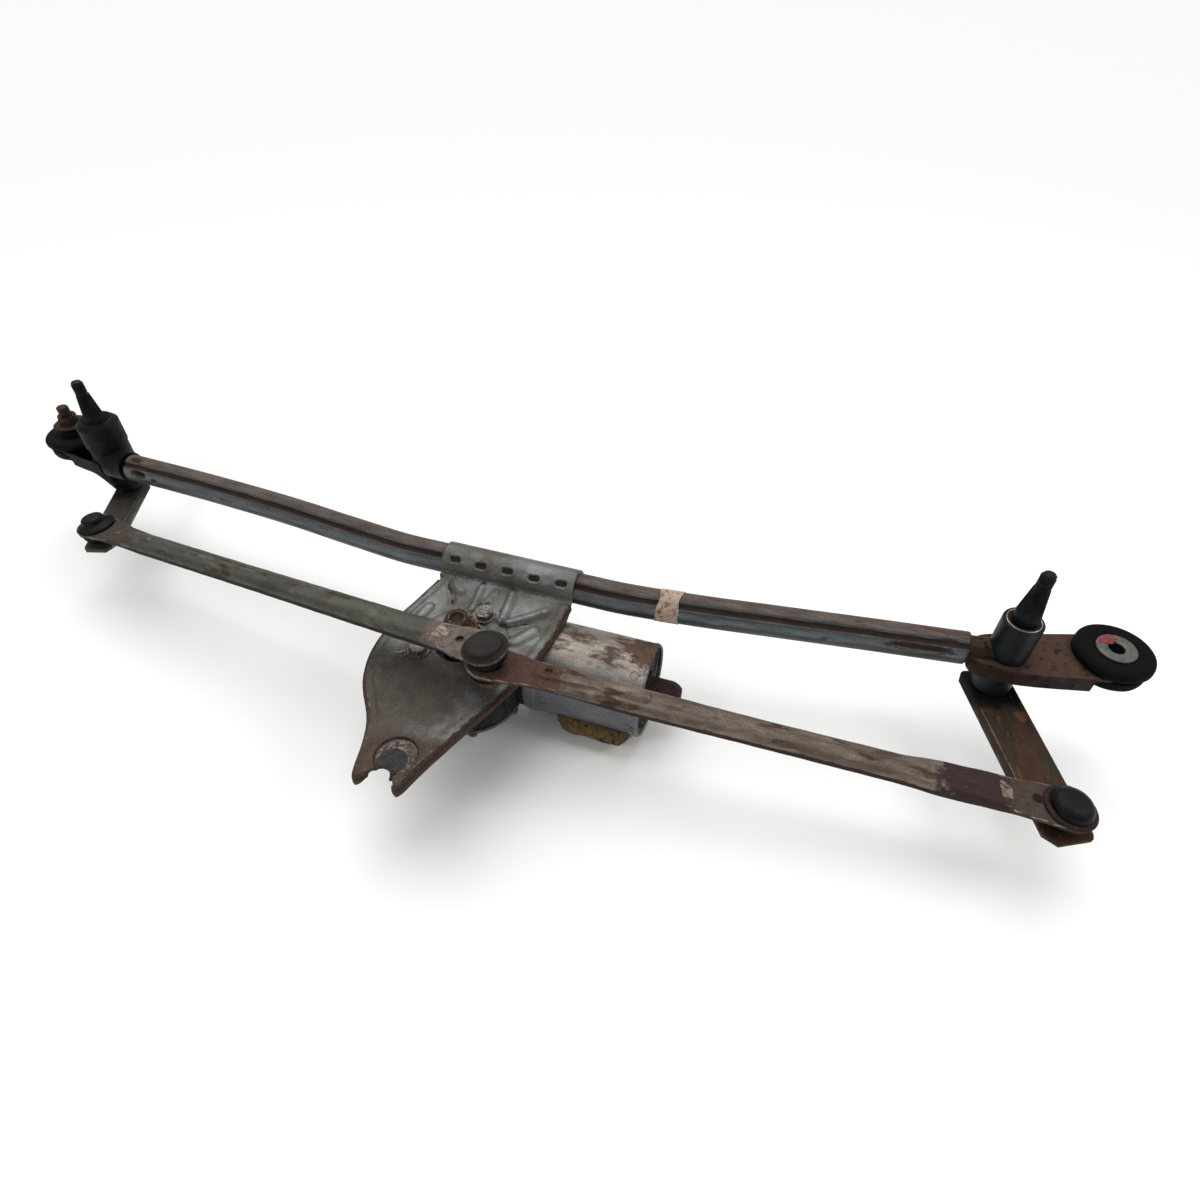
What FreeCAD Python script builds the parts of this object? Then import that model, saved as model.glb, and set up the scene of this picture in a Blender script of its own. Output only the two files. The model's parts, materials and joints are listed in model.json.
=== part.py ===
import FreeCAD, Part
import math
import os

V = FreeCAD.Vector

# Wiper linkage for a car: a cross tube between two spindle bearings, a motor
# bracket clamped to the middle of the tube, and a geared motor under the bracket
# that swings both spindles through a crank and two links.
# Design axes: X from the left spindle to the right one, Y towards the glass, Z up
# along the spindles, zero at the tube's height midway between the spindles.
# The solids are moved at the end so that the right mounting eye is the origin.

# overall layout
SPINDLE_SPACING = 620.0
SPINDLE_X = SPINDLE_SPACING / 2
LEFT_EYE = (-353.0, 10.0)
RIGHT_EYE = (365.0, 15.5)
FIT_GAP = 0.03
RUN_GAP = 0.05

# cross tube
TUBE_R = 9.5
TUBE_WALL = 1.5
STEM_GAP = 0.35
TUBE_MID_Y = -26.0
TUBE_LEFT_X = -285.0
TUBE_RIGHT_X = 289.0
TUBE_STRAIGHT = (-42.0, 84.0)
SEAM_DEPTH = 0.9
SEAM_HALF = math.radians(7.0)
SEAM_AT = math.radians(130.0)

# spindles
SPINDLE_R = 6.0
CONE_R = 6.9
CONE_TOP_R = 4.3
CONE_TOP_Z = 50.0
THREAD_R = 4.0
TIP_Z = 60.0
BUSH_R = 8.0

# left bearing housing and right bearing sleeve
HOUSING_R = 14.0
HOUSING_TOP = 31.0
HOUSING_STEP = 12.0
HOUSING_NECK_R = 9.0
LEFT_BOTTOM = -27.1
SLEEVE_R = 10.8
SLEEVE_TOP = 26.5
RIGHT_BOTTOM = -24.9

# arms and rubber-mounted eyes
ARM_SHEET = 2.0
ARM_TOP = 1.0
ARM_SKIRT = 8.0
EYE_PLATE_R = 18.0
GROMMET_R = 21.0
GROMMET_NECK_R = 11.0
GROMMET_TOP = 7.0
GROMMET_BOTTOM = -8.0
EYE_BORE_R = 4.25
EYE_SLEEVE_R = 6.4
EYE_WASHER_R = 10.5
STUD_R = 4.0
STUD_SHANK_R = 3.3
STUD_BORE_R = 3.6

# motor bracket
SHEET = 2.0
PLATE_TOP = -8.0
SKIRT = 3.0
WRAP_X = (-21.0, 65.5)
WRAP_SHEET = 1.6
FORK_AT = (15.8, -166.6)
FORK_R = 7.9
FORK_SEAT_AT = (16.6, -163.6)
FORK_SEAT_R = 11.2
PAD_LIFT = 0.8
SHAFT_HOLE_R = 15.0
BEAD_R = 27.0

# motor and gearbox
SHAFT_AT = (14.0, -83.0)
BOLT_CIRCLE_R = 24.2
BOLT_ANGLES = (81.0, -33.0, -147.0)
MOTOR_Y = -56.0
MOTOR_Z = -41.0
CAN_R = 28.5
CAN_WALL = 1.6
CAN_X = (50.0, 122.0)
BOX_R = 33.0
BOX_BOTTOM = -50.0
WHEEL_TEETH = 58
WHEEL_TIP_R = 21.0
WORM_R = 5.6
OUTPUT_R = 5.0

# crank and ball joints
CRANK_PIN = (44.5, -108.1)
ARM_Z = (0.5, 5.5)
BALL_R = 4.6
BALL_NECK_R = 3.0
SOCKET_GAP = 2.6
SOCKET_R = 11.4
SOCKET_DEPTH = 5.0
BALL_DROP = 2.6
LINK_SHEET = 2.2
EYE_R = 12.4
LINK_WIDTH = 14.5
CENTRE_UPPER_Z = 23.9
CENTRE_LOWER_Z = 13.5

# levers
LEFT_PIN = (-284.0, -55.0)
RIGHT_PIN = (341.4, -81.1)
LEFT_LEVER_TOP = -28.1
RIGHT_LEVER_TOP = -25.9
LEFT_LINK_Z = -19.7
RIGHT_LINK_Z = -17.7
LEVER_SHEET = 3.0


def cyl(r, z0, z1, x=0.0, y=0.0):
    return Part.makeCylinder(r, z1 - z0, V(x, y, z0))


def cylX(r, x0, x1, y, z):
    return Part.makeCylinder(r, x1 - x0, V(x0, y, z), V(1, 0, 0))


def box(x0, x1, y0, y1, z0, z1):
    return Part.makeBox(x1 - x0, y1 - y0, z1 - z0, V(x0, y0, z0))


def ring(outer, inner, z0, z1, x=0.0, y=0.0):
    return cyl(outer, z0, z1, x, y).cut(cyl(inner, z0 - 1, z1 + 1, x, y))


def ringX(outer, inner, x0, x1, y, z):
    return cylX(outer, x0, x1, y, z).cut(cylX(inner, x0 - 1, x1 + 1, y, z))


def turned(profile, x=0.0, y=0.0):
    points = [V(x + r, y, z) for r, z in profile]
    face = Part.Face(Part.makePolygon(points + points[:1]))
    return face.revolve(V(x, y, 0), V(0, 0, 1), 360)


def prism(points, z0, z1):
    wire = Part.makePolygon([V(x, y, z0) for x, y in points] + [V(points[0][0], points[0][1], z0)])
    return Part.Face(wire).extrude(V(0, 0, z1 - z0))


def hexagon(across, z0, z1, x, y, turn=0.0):
    r = across / math.sqrt(3)
    angles = [math.radians(turn + 60 * i) for i in range(6)]
    body = prism([(x + r * math.cos(a), y + r * math.sin(a)) for a in angles], z0, z1)
    crown = Part.makeCone(r * 1.45, r * 0.86, z1 - z0, V(x, y, z0))
    return body.common(crown)


def bar(a, b, width, z0, z1):
    # round-ended strip between two points
    dx, dy = b[0] - a[0], b[1] - a[1]
    length = math.hypot(dx, dy)
    nx, ny = -dy / length * width / 2, dx / length * width / 2
    quad = prism([(a[0] + nx, a[1] + ny), (b[0] + nx, b[1] + ny),
                  (b[0] - nx, b[1] - ny), (a[0] - nx, a[1] - ny)], z0, z1)
    return quad.fuse([cyl(width / 2, z0, z1, *a), cyl(width / 2, z0, z1, *b)]).removeSplitter()


def fused(shapes):
    return shapes[0].fuse(shapes[1:]).removeSplitter()


def polar(centre, r, degrees):
    a = math.radians(degrees)
    return centre[0] + r * math.cos(a), centre[1] + r * math.sin(a)


def tray(outline, top, sheet, depth):
    # pressed sheet with a skirt turned down all round its edge
    full = prism(outline, top - sheet - depth, top)
    wire = Part.makePolygon([V(x, y, 0) for x, y in outline] + [V(outline[0][0], outline[0][1], 0)])
    inner = wire.makeOffset2D(-sheet)
    room = Part.Face(inner).extrude(V(0, 0, depth + 1))
    room.translate(V(0, 0, top - sheet - depth - 1))
    return full.cut(room)


def smooth(points, rounds=2):
    # corner-cut outline, so that pressed edges turn gently
    for _ in range(rounds):
        cut = []
        for i, a in enumerate(points):
            b = points[(i + 1) % len(points)]
            cut.append((0.78 * a[0] + 0.22 * b[0], 0.78 * a[1] + 0.22 * b[1]))
            cut.append((0.22 * a[0] + 0.78 * b[0], 0.22 * a[1] + 0.78 * b[1]))
        points = cut
    return points


parts = {}

# cross tube: bowed towards the front, straight where the bracket grips it
leftRun = Part.BSplineCurve()
leftRun.interpolate(Points=[V(TUBE_LEFT_X, -8.0, 0), V(-215, -11.0, 0), V(-138, -16.6, 0),
                            V(-90, -22.0, 0), V(TUBE_STRAIGHT[0], TUBE_MID_Y, 0)],
                    InitialTangent=V(1, -0.03, 0), FinalTangent=V(1, 0, 0))
rightRun = Part.BSplineCurve()
rightRun.interpolate(Points=[V(TUBE_STRAIGHT[1], TUBE_MID_Y, 0), V(130, -22.6, 0),
                             V(186, -15.6, 0), V(240, -8.6, 0), V(TUBE_RIGHT_X, -2.6, 0)],
                     InitialTangent=V(1, 0, 0), FinalTangent=V(1, 0.12, 0))
midRun = Part.LineSegment(V(TUBE_STRAIGHT[0], TUBE_MID_Y, 0), V(TUBE_STRAIGHT[1], TUBE_MID_Y, 0))
path = Part.Wire([leftRun.toShape(), midRun.toShape(), rightRun.toShape()])


def tubeSection(x, y, r, seam):
    def at(angle, radius):
        return V(x, y + radius * math.cos(angle), radius * math.sin(angle))
    if not seam:
        return Part.Wire(Part.Circle(V(x, y, 0), V(1, 0, 0), r).toShape())
    a0, a1 = SEAM_AT - SEAM_HALF, SEAM_AT + SEAM_HALF
    arc = Part.Arc(at(a1, r), at(SEAM_AT + math.pi, r), at(a0, r)).toShape()
    root = at(SEAM_AT, r - SEAM_DEPTH)
    return Part.Wire([arc, Part.makeLine(at(a0, r), root), Part.makeLine(root, at(a1, r))])


def sweep(r, seam):
    return path.makePipeShell([tubeSection(TUBE_LEFT_X, -8.0, r, seam)], True, False)


tube = sweep(TUBE_R, True).cut(sweep(TUBE_R - TUBE_WALL, False))
for across in (-4.2, 3.4):
    slot = box(TUBE_RIGHT_X - 8, TUBE_RIGHT_X + 6, -3.4 + across - 1.1, -3.4 + across + 1.1, 0, 14)
    tube = tube.cut(slot)
dent = cylX(6.0, TUBE_LEFT_X + 2, TUBE_LEFT_X + 17, -16.8, 9.2)
tube = tube.cut(dent)
parts["cross_tube"] = tube

# motor bracket: sheet wrapped over the tube and running forward to a mounting fork
left, right = WRAP_X
outline = [
    (left - 2, TUBE_MID_Y - 6), (-32.4, -68.2), (-35.3, -90.3), (-33.5, -108), (-26.5, -126.5),
    (-10.2, -146.5), (-4.5, -162), (-1.2, -177.9), (2.2, -181.8), (6.0, -180.5), (10.2, -173.2),
    (9.0, -166.6), (15.8, -158.6), (22.8, -166.6), (20.0, -173.0), (23.0, -180.9), (26.6, -181.2),
    (30.9, -164.8), (40.5, -140.3), (48.5, -119.0), (54.2, -102.5), (59.2, -85.6), (63.1, -51.3),
    (right - 1, TUBE_MID_Y - 6)]
plain = outline[:9] + [(9.0, -179.0), (20.5, -179.0)] + outline[15:]
plate = tray(plain, PLATE_TOP, SHEET, SKIRT)
plate = plate.cut(cyl(FORK_R, -30, 0, *FORK_AT))
plate = plate.cut(prism([(10.6, FORK_AT[1]), (20.4, FORK_AT[1]), (21.6, -184), (7.6, -184)], -30, 0))
plate = plate.cut(cyl(FORK_SEAT_R, PLATE_TOP - 0.9, PLATE_TOP + 1, *FORK_SEAT_AT))
wrapOuter = cylX(TUBE_R + FIT_GAP + WRAP_SHEET, left, right, TUBE_MID_Y, 0)
lowBack = box(left - 1, right + 1, TUBE_MID_Y - 1.5, TUBE_MID_Y + 20, -14, -4)
rear = box(left - 1, right + 1, TUBE_MID_Y - 6.5, TUBE_MID_Y, -14, PLATE_TOP - SHEET)
wrap = wrapOuter.cut([lowBack, rear])
joinStrip = box(left, right, TUBE_MID_Y - 12, TUBE_MID_Y - 2, PLATE_TOP - SHEET, PLATE_TOP)
bracket = fused([plate, wrap, joinStrip])
bracket = bracket.cut(cylX(TUBE_R + FIT_GAP, left - 5, right + 5, TUBE_MID_Y, 0))
lobes = [cyl(8.6, PLATE_TOP - 0.1, PLATE_TOP + PAD_LIFT, *polar(SHAFT_AT, BOLT_CIRCLE_R, a))
         for a in BOLT_ANGLES]
pad = fused([cyl(BEAD_R, PLATE_TOP - 0.1, PLATE_TOP + PAD_LIFT, *SHAFT_AT)] + lobes)
ribs = [bar((8.5, -40), (8.3, -54), 2.2, PLATE_TOP - 0.1, PLATE_TOP + 0.7),
        bar((28.8, -41), (29.1, -60), 2.4, PLATE_TOP - 0.1, PLATE_TOP + 0.9),
        bar((31.5, -58.6), (53.0, -44.6), 2.0, PLATE_TOP - 0.1, PLATE_TOP + 0.7),
        bar((43.0, -70.5), (50.4, -60.0), 6.0, PLATE_TOP - 0.1, PLATE_TOP + 1.4),
        bar((-19.6, -74.0), (-17.4, -60.0), 5.0, PLATE_TOP - 0.1, PLATE_TOP + 1.2),
        bar((36.5, -114.2), (44.5, -121.0), 3.0, PLATE_TOP - 0.1, PLATE_TOP + 0.9)]
bracket = fused([bracket, pad] + ribs)
hollows = [bar((-13.0, -41.5), (-6.5, -52.0), 7.0, PLATE_TOP - 0.7, PLATE_TOP + 1),
           bar((18.5, -41.0), (18.5, -50.5), 9.0, PLATE_TOP - 0.5, PLATE_TOP + 0.5)]
bracket = bracket.cut(hollows + [cyl(SHAFT_HOLE_R, -20, 0, *SHAFT_AT)])
bracket = bracket.cut([cyl(3.3, -20, 0, *polar(SHAFT_AT, BOLT_CIRCLE_R, a)) for a in BOLT_ANGLES])
crimps = []
for i in range(5):
    cx = -12.3 + 17.45 * i
    endA = Part.makeCylinder(1.7, 6, V(-1.6, 0, 0))
    endB = Part.makeCylinder(1.7, 6, V(1.6, 0, 0))
    web = Part.makeBox(3.2, 3.4, 6, V(-1.6, -1.7, 0))
    hole = fused([endA, endB, web])
    hole.translate(V(0, 0, TUBE_R - 1.0))
    hole.rotate(V(0, 0, 0), V(1, 0, 0), 46)
    hole.translate(V(cx, TUBE_MID_Y, 0))
    crimps.append(hole)
wrapOnly = cylX(TUBE_R + FIT_GAP + 3, left - 1, right + 1, TUBE_MID_Y, 0)
bracket = bracket.cut([c.common(wrapOnly) for c in crimps])
parts["motor_bracket"] = bracket.cut(cylX(CAN_R + 1.0, CAN_X[0] - 6, CAN_X[1], MOTOR_Y, MOTOR_Z))

# worn rubber pad left in the fork
padBody = turned([(0, -12.6), (9.6, -12.6), (9.6, -10.25), (FORK_R - 0.15, -10.25),
                  (FORK_R - 0.15, -9.4), (0, -9.4)], *FORK_AT)
bite = cyl(5.6, -20, 0, FORK_AT[0] - 2.6, FORK_AT[1] - 9.2)
parts["fork_pad"] = padBody.cut(bite)

# left bearing housing, forged with a stem that fills the tube's end
lx = -SPINDLE_X
body = turned([(0, LEFT_BOTTOM), (HOUSING_NECK_R, LEFT_BOTTOM), (HOUSING_NECK_R, -9),
               (HOUSING_R - 0.8, -2), (HOUSING_R - 0.8, HOUSING_STEP), (HOUSING_R, HOUSING_STEP),
               (HOUSING_R, HOUSING_TOP - 3), (HOUSING_R - 3, HOUSING_TOP), (0, HOUSING_TOP)], lx, 0)
stemR = TUBE_R - TUBE_WALL - STEM_GAP
stem = Part.makeCylinder(stemR, 44, V(lx + 6, -7.2, 0), V(1, -0.035, 0))
collar = Part.makeCylinder(TUBE_R + 1.2, 17, V(lx + 6, -7.2, 0), V(1, -0.035, 0))
collar = collar.common(box(lx, TUBE_LEFT_X - 0.4, -40, 40, -20, 20))
housing = fused([body, stem, collar])
housing = housing.cut([cyl(BUSH_R, LEFT_BOTTOM - 1, HOUSING_TOP + 1, lx, 0),
                       cyl(BUSH_R + 1.4, HOUSING_TOP - 1.4, HOUSING_TOP + 1, lx, 0)])
parts["left_housing"] = housing
parts["left_seal_ring"] = ring(BUSH_R + 1.35, SPINDLE_R + 0.1, HOUSING_TOP - 1.4, HOUSING_TOP + 0.5, lx, 0)

# right bearing sleeve with its snap ring
rx = SPINDLE_X
sleeve = cyl(SLEEVE_R, RIGHT_BOTTOM, SLEEVE_TOP, rx, 0)
sleeve = sleeve.makeChamfer(0.7, [e for e in sleeve.Edges if abs(e.BoundBox.ZMin - SLEEVE_TOP) < 0.01])
sleeve = sleeve.cut([cyl(BUSH_R, -60, 60, rx, 0), cyl(BUSH_R + 1.4, SLEEVE_TOP - 1.2, 60, rx, 0)])
parts["right_sleeve"] = sleeve
snap = ring(BUSH_R + 1.35, SPINDLE_R + 0.1, SLEEVE_TOP - 1.2, SLEEVE_TOP + 0.2, rx, 0)
parts["right_snap_ring"] = snap.cut(box(rx - 1.5, rx + 1.5, 0, 20, 20, 40))

# sintered bushes, two in each bearing
bushes = []
for x, low, high in ((lx, LEFT_BOTTOM, HOUSING_TOP - 1.5), (rx, RIGHT_BOTTOM, SLEEVE_TOP - 1.3)):
    bushes.append(ring(BUSH_R - FIT_GAP, SPINDLE_R + RUN_GAP, low, low + 14, x, 0))
    bushes.append(ring(BUSH_R - FIT_GAP, SPINDLE_R + RUN_GAP, high - 14, high, x, 0))
parts["spindle_bushes"] = Part.makeCompound(bushes)

# spindles: shaft, serrated cone for the wiper arm, thread for its nut


def spindle(x, bottom, seat):
    profile = [(0, bottom - 4.6), (SPINDLE_R - 1.2, bottom - 4.6), (SPINDLE_R - 0.6, bottom - LEVER_SHEET - 0.4),
               (SPINDLE_R, bottom - LEVER_SHEET), (SPINDLE_R, seat), (CONE_R, seat),
               (CONE_TOP_R, CONE_TOP_Z), (THREAD_R - 0.5, CONE_TOP_Z), (THREAD_R - 0.5, CONE_TOP_Z + 1),
               (THREAD_R, CONE_TOP_Z + 1.4), (THREAD_R, TIP_Z - 0.7), (THREAD_R - 0.7, TIP_Z), (0, TIP_Z)]
    shaft = turned(profile, x, 0)
    grooves = []
    length = math.hypot(CONE_TOP_Z - seat, CONE_R - CONE_TOP_R)
    lean = math.degrees(math.atan2(CONE_R - CONE_TOP_R, CONE_TOP_Z - seat))
    for i in range(36):
        groove = Part.makeBox(0.5, 0.5, length, V(-0.25, -0.25, 0))
        groove.rotate(V(0, 0, 0), V(0, 0, 1), 45)
        groove.translate(V(CONE_R + 0.05, 0, 0))
        groove.rotate(V(CONE_R, 0, 0), V(0, 1, 0), -lean)
        groove.rotate(V(0, 0, 0), V(0, 0, 1), 10 * i)
        groove.translate(V(x, 0, seat + 1.5))
        grooves.append(groove)
    return shaft.cut(grooves)


parts["left_spindle"] = spindle(lx, LEFT_LEVER_TOP, HOUSING_TOP + 0.8)
parts["right_spindle"] = spindle(rx, RIGHT_LEVER_TOP, SLEEVE_TOP + 0.6)

# levers: pressed strips with one turned-down edge, riveted on the spindles' feet


def lever(root, pin, top, width, flangeSide, beyond, rootBack):
    dx, dy = pin[0] - root[0], pin[1] - root[1]
    length = math.hypot(dx, dy)
    half = width / 2
    outlinePts = [(-rootBack, -half), (length + beyond, -half * 0.9), (length + beyond + 2, half * 0.55),
                  (length + beyond - 4, half), (-rootBack, half)]
    strip = prism(outlinePts, top - LEVER_SHEET, top)
    side = half * flangeSide
    inner = side - LEVER_SHEET * flangeSide
    lip = box(-rootBack, length - 16, min(side, inner), max(side, inner), top - 8, top)
    strip = fused([strip, lip])
    strip.rotate(V(0, 0, 0), V(0, 0, 1), math.degrees(math.atan2(dy, dx)))
    strip.translate(V(root[0], root[1], 0))
    strip = strip.cut([cyl(SPINDLE_R + FIT_GAP, top - 20, top + 5, *root), cyl(4.0, top - 20, top + 5, *pin)])
    return strip


parts["left_lever"] = lever((lx, 0), LEFT_PIN, LEFT_LEVER_TOP, 20.0, 1, 13.0, 9.0)
parts["right_lever"] = lever((rx, 0), RIGHT_PIN, RIGHT_LEVER_TOP, 26.0, -1, 12.0, 10.0)


def ballStud(pin, top, ballZ):
    foot = turned([(0, top - LEVER_SHEET - 1.6), (5.6, top - LEVER_SHEET - 1.6), (5.6, top - LEVER_SHEET),
                   (4.0 - FIT_GAP, top - LEVER_SHEET), (4.0 - FIT_GAP, top), (BALL_NECK_R, top),
                   (BALL_NECK_R, ballZ), (0, ballZ)], *pin)
    return fused([foot, Part.makeSphere(BALL_R, V(pin[0], pin[1], ballZ))])


parts["left_ball_stud"] = ballStud(LEFT_PIN, LEFT_LEVER_TOP, LEFT_LINK_Z - BALL_DROP)
parts["right_ball_stud"] = ballStud(RIGHT_PIN, RIGHT_LEVER_TOP, RIGHT_LINK_Z - BALL_DROP)

# crank on the motor's output shaft
low, high = ARM_Z
crankAngle = math.atan2(CRANK_PIN[1] - SHAFT_AT[1], CRANK_PIN[0] - SHAFT_AT[0])
arm = fused([cyl(11.0, low, high, *SHAFT_AT), cyl(8.0, low, high, *CRANK_PIN),
             bar(SHAFT_AT, CRANK_PIN, 14.0, low, high), cyl(8.6, high - 0.1, high + 1.5, *SHAFT_AT)])
arm = arm.cut([cyl(OUTPUT_R - 0.6, -5, 20, *SHAFT_AT), cyl(4.0, -5, 20, *CRANK_PIN)])
parts["crank_arm"] = arm
nut = hexagon(13.0, high + 1.5, high + 8.0, SHAFT_AT[0], SHAFT_AT[1], 12)
parts["crank_nut"] = nut.cut(cyl(4.0 + FIT_GAP, 0, 30, *SHAFT_AT))
upperBall = CENTRE_UPPER_Z - BALL_DROP
lowerBall = CENTRE_LOWER_Z - BALL_DROP
pinShank = turned([(0, low - 1.4), (5.4, low - 1.4), (5.4, low), (4.0 - FIT_GAP, low),
                   (4.0 - FIT_GAP, high), (BALL_NECK_R, high), (BALL_NECK_R, upperBall), (0, upperBall)],
                  *CRANK_PIN)
parts["crank_pin"] = fused([pinShank, Part.makeSphere(BALL_R, V(CRANK_PIN[0], CRANK_PIN[1], lowerBall)),
                            Part.makeSphere(BALL_R, V(CRANK_PIN[0], CRANK_PIN[1], upperBall))])
output = turned([(0, -47), (OUTPUT_R, -47), (OUTPUT_R, low - 0.5), (OUTPUT_R - 0.65, low - 0.5),
                 (OUTPUT_R - 0.65, high + 1.5), (4.0, high + 1.5), (4.0, high + 6.0), (0, high + 6.0)],
                *SHAFT_AT)
parts["output_shaft"] = output

# links: pressed channels with flat eyes, sloping between the crank and the levers


def place(shape, a, b):
    # a and b are the ball centres; local X runs from a to b, BALL_DROP under the link's sheet
    dx, dy, dz = b[0] - a[0], b[1] - a[1], b[2] - a[2]
    flat = math.hypot(dx, dy)
    shape.translate(V(0, 0, BALL_DROP))
    shape.rotate(V(0, 0, 0), V(0, 1, 0), -math.degrees(math.atan2(dz, flat)))
    shape.rotate(V(0, 0, 0), V(0, 0, 1), math.degrees(math.atan2(dy, dx)))
    shape.translate(V(*a))
    return shape


def section(x, width, z0, z1, corner):
    h = width / 2
    pts = [(-h, z0), (h, z0), (h, z1 - corner), (h - corner, z1), (-h + corner, z1), (-h, z1 - corner)]
    wire = Part.makePolygon([V(x, y, z) for y, z in pts] + [V(x, pts[0][0], pts[0][1])])
    return wire


def link(length, startFlat, endFlat, ramp):
    t = LINK_SHEET / 2
    a, b = startFlat, length - endFlat
    runs = [cyl(EYE_R, -t, t), cyl(EYE_R, -t, t, length, 0)]
    neck = prism([(0, -EYE_R + 1.0), (a - ramp, -LINK_WIDTH / 2 - 1.5), (a, -LINK_WIDTH / 2),
                  (b, -LINK_WIDTH / 2), (b + ramp, -LINK_WIDTH / 2 - 1.5), (length, -EYE_R + 1.0),
                  (length, EYE_R - 1.0), (b + ramp, LINK_WIDTH / 2 + 1.5), (b, LINK_WIDTH / 2),
                  (a, LINK_WIDTH / 2), (a - ramp, LINK_WIDTH / 2 + 1.5), (0, EYE_R - 1.0)], -t, t)
    high = section(a, LINK_WIDTH, -5.2, 3.3, 2.6)
    high2 = section(b, LINK_WIDTH, -5.2, 3.3, 2.6)
    beam = Part.makeLoft([high, high2], True, True)
    rise = Part.makeLoft([section(a - ramp, LINK_WIDTH + 3, -t, t, 0.9), high], True, True)
    fall = Part.makeLoft([high2, section(b + ramp, LINK_WIDTH + 3, -t, t, 0.9)], True, True)
    room = box(a + 2, b - 2, -LINK_WIDTH / 2 + 1.8, LINK_WIDTH / 2 - 1.8, -9, 1.3)
    solid = fused(runs + [neck, beam, rise, fall])
    return solid.cut([room])


def socket(x, t0):
    # plastic cup under the eye; the bore is wide enough for the ball's play
    cup = turned([(BALL_R + SOCKET_GAP, t0 - SOCKET_DEPTH), (SOCKET_R - 1.6, t0 - SOCKET_DEPTH),
                  (SOCKET_R, t0 - SOCKET_DEPTH + 1.6), (SOCKET_R, t0), (BALL_R + SOCKET_GAP, t0)], x, 0)
    return cup


def flatCap(x, t0):
    cap = turned([(0, t0 + 2.5), (8.4, t0 + 2.5), (8.8, t0 + 2.1), (11.2, t0 + 2.0), (11.8, t0 + 1.5),
                  (11.8, t0), (BALL_R + SOCKET_GAP, t0), (BALL_R + SOCKET_GAP, t0 + 1.3), (0, t0 + 1.3)], x, 0)
    return cap


def domeCap(x, t0, r, rise):
    profile = [(0, t0 + 1.6 + rise)]
    for i in range(1, 7):
        a = math.radians(90 - 15 * i)
        profile.append((r * math.cos(a), t0 + 1.6 + rise * math.sin(a)))
    profile += [(12.3, t0 + 1.2), (12.3, t0), (BALL_R + SOCKET_GAP, t0),
                (BALL_R + SOCKET_GAP, t0 + 1.2), (0, t0 + 1.9)]
    return turned(profile, x, 0)


def boot(x, t0):
    top = t0 - SOCKET_DEPTH
    return turned([(6.5, top - 0.7), (8.4, top - 0.7), (9.2, top - FIT_GAP), (6.5, top - FIT_GAP)], x, 0)


half = LINK_SHEET / 2
leftStart = (LEFT_PIN[0], LEFT_PIN[1], LEFT_LINK_Z - BALL_DROP)
leftEnd = (CRANK_PIN[0], CRANK_PIN[1], CENTRE_UPPER_Z - BALL_DROP)
rightStart = (CRANK_PIN[0], CRANK_PIN[1], CENTRE_LOWER_Z - BALL_DROP)
rightEnd = (RIGHT_PIN[0], RIGHT_PIN[1], RIGHT_LINK_Z - BALL_DROP)
eyeHole = BALL_R + SOCKET_GAP


def linkSet(name, a, b, startFlat, endFlat, ramp, holes):
    length = math.dist(a, b)
    arm = link(length, startFlat, endFlat, ramp)
    cuts = [cyl(eyeHole, -9, 9), cyl(eyeHole, -9, 9, length, 0)]
    for x in holes:
        cuts.append(cyl(2.1, -9, 9, x if x > 0 else length + x, 0))
    parts[name] = place(arm.cut(cuts), a, b)
    cups = Part.makeCompound([socket(0, -half - FIT_GAP), socket(length, -half - FIT_GAP)])
    parts[name + "_sockets"] = place(cups, a, b)
    boots = Part.makeCompound([boot(0, -half - FIT_GAP), boot(length, -half - FIT_GAP)])
    parts[name + "_boots"] = place(boots, a, b)
    return length


leftLength = linkSet("left_link", leftStart, leftEnd, 30.0, 46.0, 14.0, (-19.0,))
rightLength = linkSet("right_link", rightStart, rightEnd, 42.0, 44.0, 14.0, (27.0, -20.0))
parts["left_cap"] = place(domeCap(0, half + FIT_GAP, 7.4, 3.4), leftStart, leftEnd)
parts["centre_cap"] = place(flatCap(leftLength, half + FIT_GAP), leftStart, leftEnd)
parts["right_cap"] = place(domeCap(rightLength, half + FIT_GAP, 11.0, 5.6), rightStart, rightEnd)

# arms that carry the mounting eyes


def eyeArm(sign, spindleX, eye, bodyR, neckHalf, tubeX):
    ex, ey = eye
    pts = [(spindleX - sign * 14, 10.5), (spindleX + sign * 6, 17.0), (ex - sign * 8, ey + 15.0),
           (ex + sign * 8, ey + 15.5), (ex + sign * 17, ey + 6), (ex + sign * 17, ey - 8),
           (ex + sign * 6, ey - 17.5), (spindleX + sign * 10, -14.0), (spindleX - sign * 8, -14.0),
           (tubeX + sign * 2, -4 - neckHalf), (tubeX + sign * 2, -4 + neckHalf)]
    if sign < 0:
        pts = pts[::-1]
    arm = tray(smooth(pts, 2), ARM_TOP, ARM_SHEET, ARM_SKIRT)
    clearance = cyl(EYE_PLATE_R + 5, -30, ARM_TOP - ARM_SHEET, ex, ey)
    return arm.cut([clearance, cyl(GROMMET_NECK_R + FIT_GAP, -30, 30, ex, ey),
                    cyl(bodyR + FIT_GAP, -40, 40, spindleX, 0)])


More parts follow.
